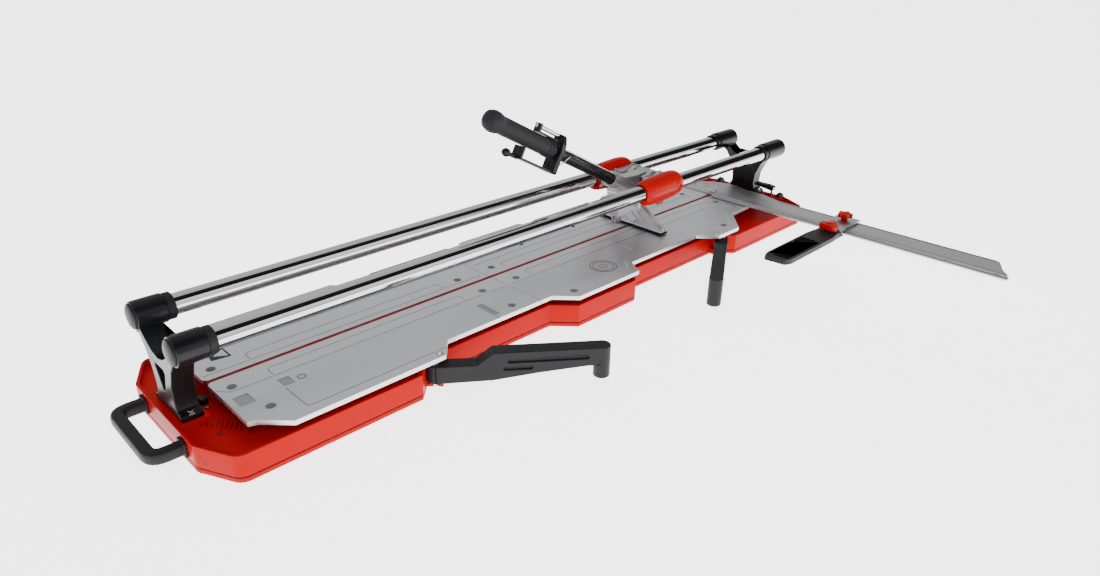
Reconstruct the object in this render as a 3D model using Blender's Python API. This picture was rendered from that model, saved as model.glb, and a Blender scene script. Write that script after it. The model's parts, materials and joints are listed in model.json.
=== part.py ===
"""Manual tile cutter with two guide rails, built as an assembly of separate parts.

Lengths below are in millimetres and are turned into metres when a mesh is made.
X runs along the rails towards the fence, Y towards the rear, Z up; the floor is Z = 0
and the middle of the base is the origin.
"""
import math

import bmesh
import bpy
from mathutils import Matrix, Vector

MM = 0.001

# ---- clearances ------------------------------------------------------------------------
GAP = 0.3               # between two pieces that touch
RUNNING_GAP = 0.4       # between a shaft and what turns or slides on it

# ---- base tray -------------------------------------------------------------------------
BASE_LENGTH = 1850.0
BASE_WIDTH = 416.0
HALF_LENGTH = BASE_LENGTH / 2
HALF_WIDTH = BASE_WIDTH / 2
ARM_RECESS = 46.0       # depth of a side-arm recess
WAIST_WIDTH = BASE_WIDTH - 2 * ARM_RECESS
WAIST_HALF = WAIST_WIDTH / 2
WAIST_INNER = 99.0      # half length of the wide part in the middle
WAIST_OUTER = 527.0     # where the wide end parts start
END_CORNER = 81.0       # width of the slanted corner
END_FLAT = BASE_WIDTH - 2 * END_CORNER
END_SLANT = 40.0        # length of the slanted corner
TRAY_BOTTOM = 3.0
TRAY_FLOOR = 45.0
TRAY_RIM = 57.0
TRAY_WALL = 4.0
RIM_WIDTH = 7.0
TRAY_SHEET = 4.0        # thickness of the tray floor
CORNER_RADIUS = 24.0
DECK_LENGTH = 56.0      # raised seat of a rail support at each end
DECK_WIDTH = 124.0
RIB_WIDTH = 64.0
RIB_SPACING = 600.0
FOOT_PAD_LENGTH = 240.0

# ---- tables and breaker strip ----------------------------------------------------------
TABLE_TOP = 83.0
TABLE_THICKNESS = 10.0
TABLE_SHEET = 6.5
TABLE_SKIRT = 4.0
LEFT_MARGIN = 80.0      # from the end of the tray to the tables
RIGHT_MARGIN = 225.0
TABLE_LEFT_END = LEFT_MARGIN - HALF_LENGTH
TABLE_RIGHT_END = HALF_LENGTH - RIGHT_MARGIN
TABLE_JOINT = -180.0
TABLE_JOINT_GAP = 1.2
TABLE_OVERHANG = 5.0    # past the tray on the wide parts
WAIST_OVERHANG = 7.0
TABLE_WIDTH = BASE_WIDTH + 2 * TABLE_OVERHANG
TABLE_WAIST = WAIST_WIDTH + 2 * WAIST_OVERHANG
TABLE_TRAVEL = 3.0      # how far a sprung table goes down
SLOT_WIDTH = 10.0
STRIP_WIDTH = 7.0
STRIP_TOP = 82.0
BUFFER_RADIUS = 9.0
BUFFER_CUP_HEIGHT = 9.0
BUFFER_CUP_WALL = 3.0

# ---- rails and their supports ----------------------------------------------------------
RAIL_SPACING = 170.0
RAIL_HEIGHT = 208.0
RAIL_RADIUS = 20.0
RAIL_INSET = 19.0       # from the end of the tray to the end of a rail
RAIL_END = HALF_LENGTH - RAIL_INSET
SOCKET_WALL = 7.0
SOCKET_RADIUS = RAIL_RADIUS + SOCKET_WALL
SOCKET_END = 7.0        # past the end of the rail
SOCKET_OUTER = RAIL_END + SOCKET_END
LEFT_SOCKET_LENGTH = 53.0
RIGHT_SOCKET_LENGTH = 89.0
LEFT_SOCKET_INNER = SOCKET_OUTER - LEFT_SOCKET_LENGTH
RIGHT_SOCKET_INNER = SOCKET_OUTER - RIGHT_SOCKET_LENGTH
SLEEVE_LENGTH = 26.0    # slanted mouth of a right socket
COLLAR_LENGTH = 15.0
COLLAR_WALL = 5.0
COLLAR_RADIUS = RAIL_RADIUS + COLLAR_WALL
SUPPORT_INSET = 13.0    # from the end of the tray to the support
SUPPORT_OUTER = HALF_LENGTH - SUPPORT_INSET
SUPPORT_THICKNESS = 39.0
CAP_STEP = 3.0          # how much smaller an end cap is than its socket
CAP_RADIUS = SOCKET_RADIUS - CAP_STEP
CAP_THICKNESS = 7.0

# ---- carry handle and wheels -----------------------------------------------------------
HANDLE_WIDTH = 174.0
HANDLE_REACH = 52.0
HANDLE_SECTION = 24.0
HANDLE_MIDDLE = 34.0
WHEEL_RADIUS = 21.0
WHEEL_WIDTH = 14.0
WHEEL_INSET = 5.0       # from the end of the tray to the axle
WHEEL_X = HALF_LENGTH - WHEEL_INSET
WHEEL_CORNER = 17.0     # from the slanted corner to the middle of a wheel
WHEEL_Y = END_FLAT / 2 - WHEEL_CORNER
WHEEL_Z = 46.0
WHEEL_AXLE_RADIUS = 4.0

# ---- side arms -------------------------------------------------------------------------
ARM_PIVOT_X = 485.0
ARM_PIVOT_INSET = 18.0
ARM_PIVOT_Y = HALF_WIDTH - ARM_PIVOT_INSET
ARM_WIDTH = 34.0
ARM_ROOT_RADIUS = 16.0
ARM_REACH = 328.0       # pivot to the middle of the foot
ARM_ROOT_BOTTOM = 20.0
ARM_ROOT_TOP = 58.0
ARM_FOOT_BOTTOM = 13.0
ARM_PIN_RADIUS = 5.0
ARM_LUG_BOTTOM = 5.0
FRONT_LEFT_ARM_OPEN = 37.5
FRONT_RIGHT_ARM_OPEN = 31.5

# ---- fence -----------------------------------------------------------------------------
FENCE_MARGIN = 10.0     # from the tables to the pivot of the ruler
FENCE_PIVOT_X = TABLE_RIGHT_END + FENCE_MARGIN
PROTRACTOR_RADIUS = 115.0
PROTRACTOR_THICKNESS = 3.7
FENCE_BOLT_RADIUS = 6.0
RULER_LENGTH = 841.0    # from the cutting line to the outer end
RULER_WIDTH = 96.0
RULER_STOP_OFFSET = 28.0
RULER_LIP_WIDTH = 18.0
RULER_BOTTOM = 87.3
RULER_THICKNESS = 4.0
LIP_BOTTOM = 84.3
STOP_POSITION = 402.0   # of the sliding stop, from the cutting line
STOP_LENGTH = 65.0
STOP_ARM_LENGTH = 272.0
STOP_ARM_WIDTH = 66.0
STOP_ARM_BOTTOM = 88.0
STOP_ARM_TOP = 102.0
STOP_ARM_OFFSET = 70.0  # arm's pivot, in front of the fence pivot
STOP_ARM_BACK = 13.0    # arm's pivot, outside the middle of the sliding stop
LOCK_INSET = 50.0
LOCK_X = HALF_LENGTH - LOCK_INSET
LOCK_Y = -106.0
LOCK_HEIGHT = 92.0

# ---- carriage --------------------------------------------------------------------------
CARRIAGE_X = 325.0
CARRIAGE_CAP_LENGTH = 150.0
BUSH_WALL = 3.3
BUSH_RADIUS = RAIL_RADIUS + RUNNING_GAP + BUSH_WALL
SLEEVE_WALL = 5.3
SLEEVE_RADIUS = BUSH_RADIUS + SLEEVE_WALL
BUSH_LENGTH = 122.0
BEAM_BOTTOM = 186.0
BEAM_TOP = 226.0
PIVOT_X = 362.0
PIVOT_Z = 216.0
PIVOT_PIN_RADIUS = 7.0
HUB_RADIUS = 16.0
HUB_WIDTH = 34.0
LEVER_ANGLE = 28.15
LEVER_ROOT_X = 280.0
LEVER_ROOT_Z = 205.8
TUBE_RADIUS = 15.0
TUBE_LENGTH = 480.0
GRIP_START = 306.0
GRIP_LENGTH = 219.0
GRIP_WALL = 6.0
GRIP_RADIUS = TUBE_RADIUS + GRIP_WALL
GRIP_BULGE = 4.0
GRIP_END_RADIUS = GRIP_RADIUS + GRIP_BULGE
WHEEL_HOLDER_X = 262.0
HOLDER_TOP = 126.0
SCORING_RADIUS = 11.0
SCORING_Z = 112.0
SCORING_WIDTH = 4.0
SCORING_AXLE_RADIUS = 2.0
FOOT_PIVOT_X = 330.0
FOOT_PIVOT_Z = 150.0
FOOT_WIDTH = 218.0
FOOT_THICKNESS = 18.0
PAD_BOTTOM = 85.0
PAD_THICKNESS = 3.3
FOOT_PIN_RADIUS = 4.0

RAIL_Y = RAIL_SPACING / 2


# ======================================================================================
# outlines
# ======================================================================================
def mirrored(front):
    """Close an outline given along its front edge, left to right, by its mirror image."""
    return front + [(x, -y) for x, y in reversed(front)]


def offset_outline(points, distance):
    """Move every side of a counter-clockwise outline inwards by the distance."""
    moved = []
    count = len(points)
    for i in range(count):
        before = Vector(points[i - 1])
        here = Vector(points[i])
        after = Vector(points[(i + 1) % count])
        d1 = (here - before).normalized()
        d2 = (after - here).normalized()
        n1 = Vector((-d1.y, d1.x))
        n2 = Vector((-d2.y, d2.x))
        scale = distance / (1.0 + n1.dot(n2))
        moved.append(tuple(here + (n1 + n2) * scale))
    return moved


def clip_outline(points, low, high):
    """Keep the part of an outline whose first coordinate lies between low and high."""
    for limit, sign in ((low, 1.0), (high, -1.0)):
        kept = []
        for i, here in enumerate(points):
            before = points[i - 1]
            inside = sign * (here[0] - limit) >= 0
            was_inside = sign * (before[0] - limit) >= 0
            if inside != was_inside:
                t = (limit - before[0]) / (here[0] - before[0])
                kept.append((limit, before[1] + t * (here[1] - before[1])))
            if inside:
                kept.append(here)
        points = kept
    return points


def rounded(points, radius, steps=3, chosen=None):
    """Replace corners of an outline by arcs; chosen picks them by index."""
    result = []
    count = len(points)
    for i in range(count):
        here = Vector(points[i])
        if chosen is not None and i not in chosen:
            result.append(tuple(here))
            continue
        to_before = Vector(points[i - 1]) - here
        to_after = Vector(points[(i + 1) % count]) - here
        angle = to_before.angle(to_after)
        cut = radius / math.tan(angle / 2)
        cut = min(cut, to_before.length * 0.49, to_after.length * 0.49)
        real_radius = cut * math.tan(angle / 2)
        bisector = (to_before.normalized() + to_after.normalized()).normalized()
        centre = here + bisector * (real_radius / math.sin(angle / 2))
        start = here + to_before.normalized() * cut - centre
        end = here + to_after.normalized() * cut - centre
        turn = start.angle_signed(end)
        for k in range(steps + 1):
            a = -turn * k / steps
            c, s = math.cos(a), math.sin(a)
            result.append((centre.x + c * start.x - s * start.y, centre.y + s * start.x + c * start.y))
    return result


def circle(cx, cy, radius, steps=24, start=0.0, sweep=360.0):
    """Points of a circle or, with a sweep below 360, of an arc with both ends."""
    full = abs(sweep) >= 360.0
    count = steps if full else steps + 1
    result = []
    for k in range(count):
        a = math.radians(start + sweep * k / steps)
        result.append((cx + radius * math.cos(a), cy + radius * math.sin(a)))
    return result


def box_outline(x0, x1, y0, y1):
    return [(x0, y0), (x1, y0), (x1, y1), (x0, y1)]


# ======================================================================================
# meshes
# ======================================================================================
def place_on(axis, u, v, w):
    """A point from its two outline coordinates and its place along the extrusion axis."""
    if axis == "Z":
        return (u, v, w)
    if axis == "X":
        return (w, u, v)
    return (u, w, v)


def finish_mesh(bm):
    bmesh.ops.recalc_face_normals(bm, faces=bm.faces)
    return bm


def prism(outline, low, high, axis="Z"):
    """Extrude a closed outline between two places on an axis."""
    bm = bmesh.new()
    ring_low = [bm.verts.new(place_on(axis, u, v, low)) for u, v in outline]
    ring_high = [bm.verts.new(place_on(axis, u, v, high)) for u, v in outline]
    bm.faces.new(ring_low)
    bm.faces.new(ring_high)
    count = len(outline)
    for i in range(count):
        j = (i + 1) % count
        bm.faces.new((ring_low[i], ring_low[j], ring_high[j], ring_high[i]))
    return finish_mesh(bm)


def box(x0, x1, y0, y1, z0, z1):
    return prism(box_outline(x0, x1, y0, y1), z0, z1)


def turned(profile, axis, centre, steps=24):
    """Turn a profile of (radius, place) points about an axis through the centre.

    A profile that starts and ends at radius 0 gives a solid; any other is closed on itself.
    """
    bm = bmesh.new()
    rings = []
    for radius, place in profile:
        if radius < 1e-6:
            rings.append([bm.verts.new(place_on(axis, centre[0], centre[1], place))])
            continue
        ring = []
        for u, v in circle(centre[0], centre[1], radius, steps):
            ring.append(bm.verts.new(place_on(axis, u, v, place)))
        rings.append(ring)
    pairs = list(zip(rings, rings[1:]))
    if len(rings[0]) > 1:
        pairs.append((rings[-1], rings[0]))
    for a, b in pairs:
        for i in range(steps):
            j = (i + 1) % steps
            corners = [a[i % len(a)], a[j % len(a)], b[j % len(b)], b[i % len(b)]]
            unique = []
            for corner in corners:
                if corner not in unique:
                    unique.append(corner)
            if len(unique) > 2:
                bm.faces.new(unique)
    return finish_mesh(bm)


def rod(axis, centre, radius, low, high, steps=24):
    return prism(circle(centre[0], centre[1], radius, steps), low, high, axis)


def bore(axis, centre, radius, low, high, steps=24):
    """Cutter for a hole whose flats, not its corners, lie at the radius."""
    outer = radius / math.cos(math.pi / steps)
    return prism(circle(centre[0], centre[1], outer, steps, 180.0 / steps), low, high, axis)


def sweep(path, section, closed=False):
    """Carry a section outline (across, up) along a path of points."""
    bm = bmesh.new()
    points = [Vector(p) for p in path]
    count = len(points)
    rings = []
    for i, here in enumerate(points):
        if closed:
            along = points[(i + 1) % count] - points[i - 1]
        else:
            along = points[min(i + 1, count - 1)] - points[max(i - 1, 0)]
        along.normalize()
        upright = Vector((0, 0, 1))
        if abs(along.z) > 0.95:
            upright = Vector((1, 0, 0))
        across = along.cross(upright).normalized()
        up = across.cross(along).normalized()
        rings.append([bm.verts.new(here + across * a + up * b) for a, b in section])
    pairs = list(zip(rings, rings[1:]))
    if closed:
        pairs.append((rings[-1], rings[0]))
    else:
        bm.faces.new(rings[0])
        bm.faces.new(rings[-1])
    size = len(section)
    for a, b in pairs:
        for i in range(size):
            j = (i + 1) % size
            bm.faces.new((a[i], a[j], b[j], b[i]))
    return finish_mesh(bm)


def curved_path(corners, radius, steps=5):
    """A path through corner points with each inner corner rounded off."""
    result = [Vector(corners[0])]
    for i in range(1, len(corners) - 1):
        here = Vector(corners[i])
        before = Vector(corners[i - 1])
        after = Vector(corners[i + 1])
        cut = min(radius, (before - here).length * 0.45, (after - here).length * 0.45)
        start = here + (before - here).normalized() * cut
        end = here + (after - here).normalized() * cut
        for k in range(steps + 1):
            t = k / steps
            result.append(start * (1 - t) ** 2 + here * 2 * t * (1 - t) + end * t ** 2)
    result.append(Vector(corners[-1]))
    return result


# ======================================================================================
# objects, materials and pivots
# ======================================================================================
FINISHES = {
    "red_paint": ((0.62, 0.012, 0.012), 0.28, 0.0),
    "red_strip": ((0.42, 0.015, 0.012), 0.5, 0.0),
    "red_plastic": ((0.70, 0.010, 0.008), 0.32, 0.0),
    "black_cast": ((0.012, 0.012, 0.013), 0.25, 0.0),
    "black_plastic": ((0.025, 0.025, 0.027), 0.5, 0.0),
    "black_rubber": ((0.018, 0.018, 0.018), 0.8, 0.0),
    "zinc_table": ((0.62, 0.63, 0.65), 0.35, 1.0),
    "chrome": ((0.75, 0.75, 0.76), 0.08, 1.0),
    "aluminium": ((0.58, 0.58, 0.59), 0.38, 1.0),
    "cast_aluminium": ((0.50, 0.50, 0.51), 0.42, 1.0),
    "hard_metal": ((0.35, 0.35, 0.37), 0.3, 1.0),
    "bronze": ((0.55, 0.38, 0.18), 0.4, 1.0),
    "steel": ((0.40, 0.40, 0.41), 0.35, 1.0),
}


def material_named(name):
    found = bpy.data.materials.get(name)
    if found is not None:
        return found
    colour, roughness, metallic = FINISHES[name]
    made = bpy.data.materials.new(name)
    made.use_nodes = True
    shader = made.node_tree.nodes["Principled BSDF"]
    shader.inputs["Base Color"].default_value = (*colour, 1.0)
    shader.inputs["Roughness"].default_value = roughness
    shader.inputs["Metallic"].default_value = metallic
    made.diffuse_color = (*colour, 1.0)
    return made


def pivot(name, x, y, z, parent=None, turn=0.0):
    """An empty on a joint's axis; what moves with the joint is parented to it."""
    empty = bpy.data.objects.new(name, None)
    bpy.context.scene.collection.objects.link(empty)
    empty.empty_display_size = 0.03
    empty.parent = parent
    world = Matrix.Translation(Vector((x, y, z)) * MM) @ Matrix.Rotation(math.radians(turn), 4, "Z")
    if parent is None:
        empty.matrix_basis = world
    else:
        bpy.context.view_layer.update()
        empty.matrix_basis = parent.matrix_world.inverted() @ world
    bpy.context.view_layer.update()
    return empty


def mesh_object(name, bm, finish, smooth=True):
    mesh = bpy.data.meshes.new(name)
    bmesh.ops.scale(bm, vec=(MM, MM, MM), verts=bm.verts)
    bm.to_mesh(mesh)
    bm.free()
    mesh.materials.append(material_named(finish))
    if smooth:
        mesh.shade_smooth()
        mesh.set_sharp_from_angle(angle=math.radians(35))
    made = bpy.data.objects.new(name, mesh)
    bpy.context.scene.collection.objects.link(made)
    return made


def helper(name, bm, finish):
    """A solid that only shapes another one."""
    made = mesh_object(name, bm, finish, smooth=False)
    made.hide_render = True
    made.display_type = "WIRE"
    return made


def part(name, bm, finish, add=(), cut=(), parent=None, local=None):
    """One named piece: a base solid, joined with the added ones and cut by the others.

    The solids are in world coordinates, or in the frame given as local.
    """
    made = mesh_object(name, bm, finish)
    frame = local if local is not None else Matrix.Identity(4)
    helpers = []
    for operation, solids in (("UNION", add), ("DIFFERENCE", cut)):
        for index, solid in enumerate(solids):
            tool = helper(f"shape.{name}.{operation.lower()}{index}", solid, finish)
            helpers.append(tool)
            step = made.modifiers.new(tool.name, "BOOLEAN")
            step.operation = operation
            step.object = tool
    for piece in [made] + helpers:
        piece.matrix_basis = frame
    if parent is not None:
        bpy.context.view_layer.update()
        back = parent.matrix_world.inverted()
        for piece in [made] + helpers:
            piece.parent = parent
            piece.matrix_basis = back @ frame
    bpy.context.view_layer.update()
    return made


def late_step(made, solid, operation="UNION", parent=None):
    """Join a solid to a finished piece, or cut it out of it, after its other steps."""
    tool = helper(f"shape.{made.name}.late{len(made.modifiers)}", solid, made.data.materials[0].name)
    if parent is not None:
        tool.parent = parent
        tool.matrix_basis = parent.matrix_world.inverted()
    step = made.modifiers.new(tool.name, "BOOLEAN")
    step.operation = operation
    step.object = tool


def join_late(made, solid, parent=None):
    late_step(made, solid, "UNION", parent)


# ======================================================================================
# base
# ======================================================================================
def base_front_edge():
    slant = HALF_WIDTH - WAIST_HALF
    right = [
        (WAIST_INNER, -HALF_WIDTH),
        (WAIST_INNER + slant, -WAIST_HALF),
        (WAIST_OUTER - slant, -WAIST_HALF),
        (WAIST_OUTER, -HALF_WIDTH),
        (HALF_LENGTH - END_SLANT, -HALF_WIDTH),
        (HALF_LENGTH, -END_FLAT / 2),
    ]
    left = [(-x, y) for x, y in reversed(right)]
    return left + right


def base_outline(inset=0.0):
    outline = mirrored(base_front_edge())
    last = len(outline) - 1
    half = len(outline) // 2
    ends = {0, 1, half - 2, half - 1, half, half + 1, last - 1, last}
    if inset:
        outline = offset_outline(outline, inset)
    return rounded(outline, CORNER_RADIUS - inset, 3, ends)


def arm_corners():
    return [(sx * ARM_PIVOT_X, sy * ARM_PIVOT_Y, sx, sy) for sy in (-1, 1) for sx in (-1, 1)]


def arm_lug(x, y, sx, sy):
    """The ledge on a slanted wall that carries a side arm's pin."""
    radius = ARM_WIDTH / 2
    reach = 40.0
    outline = [
        (x - radius * 0.7 * sx, y + radius * 0.7 * sy),
        (x + radius * 0.7 * sx, y - radius * 0.7 * sy),
        (x + (radius * 0.7 + reach) * sx, y - (radius * 0.7 - reach * 0.2) * sy),
        (x + reach * sx, y - reach * 0.9 * sy),
        (x - radius * 0.7 * sx, y - reach * 0.9 * sy),
    ]
    if sx * sy > 0:
        outline.reverse()
    return prism(outline, ARM_LUG_BOTTOM, ARM_ROOT_BOTTOM - GAP - 0.7)


def base_tray():
    tray = prism(base_outline(), TRAY_BOTTOM, TRAY_RIM)
    add = []
    cut = [prism(base_outline(RIM_WIDTH), TRAY_FLOOR, TRAY_RIM + 10)]
    under_top = TRAY_FLOOR - TRAY_SHEET
    half_rib = RIB_WIDTH / 2
    under = base_outline(TRAY_WALL)
    bays = [
        (-HALF_LENGTH, -RIB_SPACING - half_rib),
        (-RIB_SPACING + half_rib, -half_rib),
        (half_rib, RIB_SPACING - half_rib),
        (RIB_SPACING + half_rib, HALF_LENGTH),
    ]
    for low, high in bays:
        cut.append(prism(clip_outline(under, low, high), TRAY_BOTTOM - 10, under_top))
    return tray, add, cut


def build_base():
    tray, add, cut = base_tray()
    made = part("base_tray", tray, "red_paint", add, cut)
    late_add = []
    late_cut = []
    for side in (-1, 1):
        outer = side * (HALF_LENGTH - 3.0)
        inner = side * (HALF_LENGTH - 3.0 - DECK_LENGTH)
        late_add.append(box(min(outer, inner), max(outer, inner), -DECK_WIDTH / 2, DECK_WIDTH / 2,
                            TRAY_FLOOR - TRAY_SHEET + 1.0, TRAY_RIM))
    for x, y, sx, sy in arm_corners():
        late_add.append(arm_lug(x, y, sx, sy))
        late_cut.append(bore("Z", (x, y), ARM_PIN_RADIUS + 0.2, 0, 40, 16))
    for y in (-WHEEL_Y, WHEEL_Y):
        half = WHEEL_WIDTH / 2 + 3.0
        wall = half + 7.0
        late_add.append(box(WHEEL_X - 32, HALF_LENGTH - 1.0, y - wall, y + wall, TRAY_BOTTOM, TRAY_RIM))
        late_cut.append(box(WHEEL_X - WHEEL_RADIUS - 3, HALF_LENGTH + 20, y - half, y + half,
                            TRAY_BOTTOM + 14, TRAY_RIM + 20))
        late_cut.append(bore("Y", (WHEEL_X, WHEEL_Z), WHEEL_AXLE_RADIUS + 0.2, y - half - 5, y + half + 5, 16))
    for x, y in buffer_places():
        inner = BUFFER_RADIUS + 1.0
        outer = inner + BUFFER_CUP_WALL
        low = TRAY_FLOOR - 1
        high = TRAY_FLOOR + BUFFER_CUP_HEIGHT
        late_add.append(turned([(inner, low), (outer, low), (outer, high), (inner, high)], "Z", (x, y), 16))
    for solid in late_add:
        late_step(made, solid)
    for solid in late_cut:
        late_step(made, solid, "DIFFERENCE")


def build_foot_pads():
    for name, x in (("foot_pad_left", -RIB_SPACING), ("foot_pad_middle", 0.0), ("foot_pad_right", RIB_SPACING)):
        half = RIB_WIDTH / 2 - 6.0
        outline = rounded(box_outline(x - half, x + half, -FOOT_PAD_LENGTH / 2, FOOT_PAD_LENGTH / 2), 8.0)
        part(name, prism(outline, 0.0, TRAY_BOTTOM - GAP), "black_rubber")


# ======================================================================================
# tables
# ======================================================================================
def table_outline(side, low, high):
    """Outline of one table, on the front (side -1) or at the rear (side +1)."""
    wide = TABLE_WIDTH / 2
    waist = TABLE_WAIST / 2
    slot = SLOT_WIDTH / 2
    slant = wide - waist
    edge = [
        (TABLE_LEFT_END, waist - 5.0),
        (TABLE_LEFT_END + 16.0, waist + 1.0),
        (TABLE_LEFT_END + 16.0 + slant, wide),
        (-WAIST_OUTER + 54.0, wide),
        (-WAIST_OUTER + 54.0 + slant - 6.0, waist),
        (-WAIST_INNER - 3.0 - slant, waist),
        (-WAIST_INNER - 3.0, wide),
        (WAIST_INNER + 3.0, wide),
        (WAIST_INNER + 3.0 + slant - 18.0, waist),
        (WAIST_OUTER - 91.0 - slant, waist),
        (WAIST_OUTER - 90.0, wide),
        (WAIST_OUTER, wide),
        (WAIST_OUTER + 80.0, WAIST_HALF - 22.0),
        (TABLE_RIGHT_END, WAIST_HALF - 27.0),
    ]
    outline = edge + [(TABLE_RIGHT_END, slot), (TABLE_LEFT_END + 6.0, slot), (TABLE_LEFT_END, slot + 6.0)]
    outline = clip_outline(outline, low, high)
    if side < 0:
        return [(x, -y) for x, y in outline]
    outline.reverse()
    return outline


TABLES = (
    ("table_front_left", -1, TABLE_LEFT_END, TABLE_JOINT - TABLE_JOINT_GAP / 2),
    ("table_front_right", -1, TABLE_JOINT + TABLE_JOINT_GAP / 2, TABLE_RIGHT_END),
    ("table_rear_left", 1, TABLE_LEFT_END, TABLE_JOINT - TABLE_JOINT_GAP / 2),
    ("table_rear_right", 1, TABLE_JOINT + TABLE_JOINT_GAP / 2, TABLE_RIGHT_END),
)


def buffer_of(side, low, high):
    return (low + high) / 2, side * (SLOT_WIDTH / 2 + TABLE_WAIST / 2) / 2


def buffer_places():
    return [buffer_of(side, low, high) for _, side, low, high in TABLES]


def build_tables():
    bottom = TABLE_TOP - TABLE_THICKNESS
    under = TABLE_TOP - TABLE_SHEET
    for name, side, low, high in TABLES:
        outline = table_outline(side, low, high)
        inner = offset_outline(outline, TABLE_SKIRT)
        x, y = buffer_of(side, low, high)
        moving = pivot(f"pivot.{name}", x, y, TABLE_TOP)
        hollow = prism(inner, bottom - 10, under)
        ribs = []
        for share in (0.33, 0.67):
            rib_x = low + (high - low) * share
            ribs.append(box(rib_x - 2, rib_x + 2, min(side * 7.0, side * 160.0), max(side * 7.0, side * 160.0),
                            bottom + 1.0, under + 1.0))
        table = part(name, prism(outline, bottom, TABLE_TOP), "zinc_table", (), [hollow], moving)
        for rib in ribs:
            join_late(table, rib, moving)
        part(name.replace("table", "buffer"),
             rod("Z", (x, y), BUFFER_RADIUS, TRAY_FLOOR + TABLE_TRAVEL + GAP, under - GAP, 16),
             "black_rubber", parent=moving)


def build_strip():
    half = STRIP_WIDTH / 2
    profile = [(-half - 8, TRAY_FLOOR + GAP), (half + 8, TRAY_FLOOR + GAP), (half + 8, TRAY_FLOOR + 5),
               (half, TRAY_FLOOR + 8), (half, STRIP_TOP - 1.0), (1.0, STRIP_TOP), (-1.0, STRIP_TOP),
               (-half, STRIP_TOP - 1.0), (-half, TRAY_FLOOR + 8), (-half - 8, TRAY_FLOOR + 5)]
    part("breaker_strip", prism(profile, TABLE_LEFT_END + 2, TABLE_RIGHT_END - 2, "X"), "red_strip")


# ======================================================================================
# rails and supports
# ======================================================================================
def support_outline():
    """The Y-shaped casting seen along the rails, as (y, z) points."""
    foot = TRAY_RIM + GAP
    half = [
        (57.0, foot), (57.0, foot + 10), (42.0, foot + 16), (38.0, foot + 36), (41.0, foot + 64),
        (56.0, foot + 98), (72.0, foot + 118), (RAIL_Y + 8, RAIL_HEIGHT - 20),
        (RAIL_Y - 5.3, RAIL_HEIGHT - 3.1), (RAIL_Y - 24, RAIL_HEIGHT - 14), (46.0, foot + 124), (24.0, foot + 110),
    ]
    return half + [(0.0, foot + 105)] + [(-y, z) for y, z in reversed(half)]


def web_pocket():
    """Triangular hollow in the outer face of a support."""
    low = TRAY_RIM + 32
    return rounded([(0.0, low), (24.0, low + 56), (-24.0, low + 56)], 5.0, 2)


def build_support(name, side, inner):
    far = side * SUPPORT_OUTER
    near = side * (SUPPORT_OUTER - SUPPORT_THICKNESS)
    body = prism(support_outline(), min(far, near), max(far, near), "X")
    add = []
    cut = []
    for y in (-RAIL_Y, RAIL_Y):
        low = min(side * inner, side * SOCKET_OUTER)
        high = max(side * inner, side * SOCKET_OUTER)
        add.append(rod("X", (y, RAIL_HEIGHT), SOCKET_RADIUS, low, high, 24))
        if side > 0:
            add.append(slanted_mouth(y))
            add.append(turned(end_dome(1, SOCKET_OUTER - 0.5), "X", (y, RAIL_HEIGHT), 24))
        bore_start = inner - 80.0
        bore_end = RAIL_END + GAP if side > 0 else SOCKET_OUTER + 27.0
        cut.append(bore("X", (y, RAIL_HEIGHT), RAIL_RADIUS + GAP, min(side * bore_start, side * bore_end),
                       max(side * bore_start, side * bore_end), 24))
    pocket_low = far if side < 0 else far - 30
    cut.append(prism(web_pocket(), pocket_low - (5 if side < 0 else 0), pocket_low + 35, "X"))
    part(name, body, "black_cast", add, cut)


def slanted_mouth(y):
    """Thinner mouth of a right socket, longer above the rail than below it."""
    radius = SOCKET_RADIUS - 2.5
    start = RIGHT_SOCKET_INNER + 4
    bm = bmesh.new()
    ring_far = []
    ring_near = []
    for k in range(24):
        a = 2 * math.pi * k / 24
        dy, dz = radius * math.cos(a), radius * math.sin(a)
        reach = SLEEVE_LENGTH * (0.62 + 0.38 * math.sin(a)) + 4
        ring_far.append(bm.verts.new((start, y + dy, RAIL_HEIGHT + dz)))
        ring_near.append(bm.verts.new((start - reach, y + dy, RAIL_HEIGHT + dz)))
    bm.faces.new(ring_far)
    bm.faces.new(ring_near)
    for k in range(24):
        j = (k + 1) % 24
        bm.faces.new((ring_far[k], ring_far[j], ring_near[j], ring_near[k]))
    return finish_mesh(bm)


def end_dome(side, start):
    """Profile of the low dome that closes a rail socket."""
    place = side * start
    return [(0, place), (CAP_RADIUS, place), (CAP_RADIUS - 1, place + side * 3),
            (CAP_RADIUS - 7, place + side * (CAP_THICKNESS - 1)), (0, place + side * CAP_THICKNESS)]


def build_rails():
    for where, y in (("front", -RAIL_Y), ("rear", RAIL_Y)):
        edge = 1.5
        profile = [(0, -RAIL_END), (RAIL_RADIUS - edge, -RAIL_END), (RAIL_RADIUS, -RAIL_END + edge),
                   (RAIL_RADIUS, RAIL_END - edge), (RAIL_RADIUS - edge, RAIL_END), (0, RAIL_END)]
        part(f"rail_{where}", turned(profile, "X", (y, RAIL_HEIGHT), 32), "chrome")
        start = -LEFT_SOCKET_INNER + GAP
        ring = [(RAIL_RADIUS + GAP, start), (COLLAR_RADIUS, start),
                (COLLAR_RADIUS, start + COLLAR_LENGTH - 2), (COLLAR_RADIUS - 2, start + COLLAR_LENGTH),
                (RAIL_RADIUS + GAP, start + COLLAR_LENGTH)]
        part(f"rail_collar_{where}", turned(ring, "X", (y, RAIL_HEIGHT), 24), "black_plastic")
        part(f"end_cap_{where}", turned(end_dome(-1, SOCKET_OUTER + GAP), "X", (y, RAIL_HEIGHT), 24),
             "black_plastic")


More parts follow.
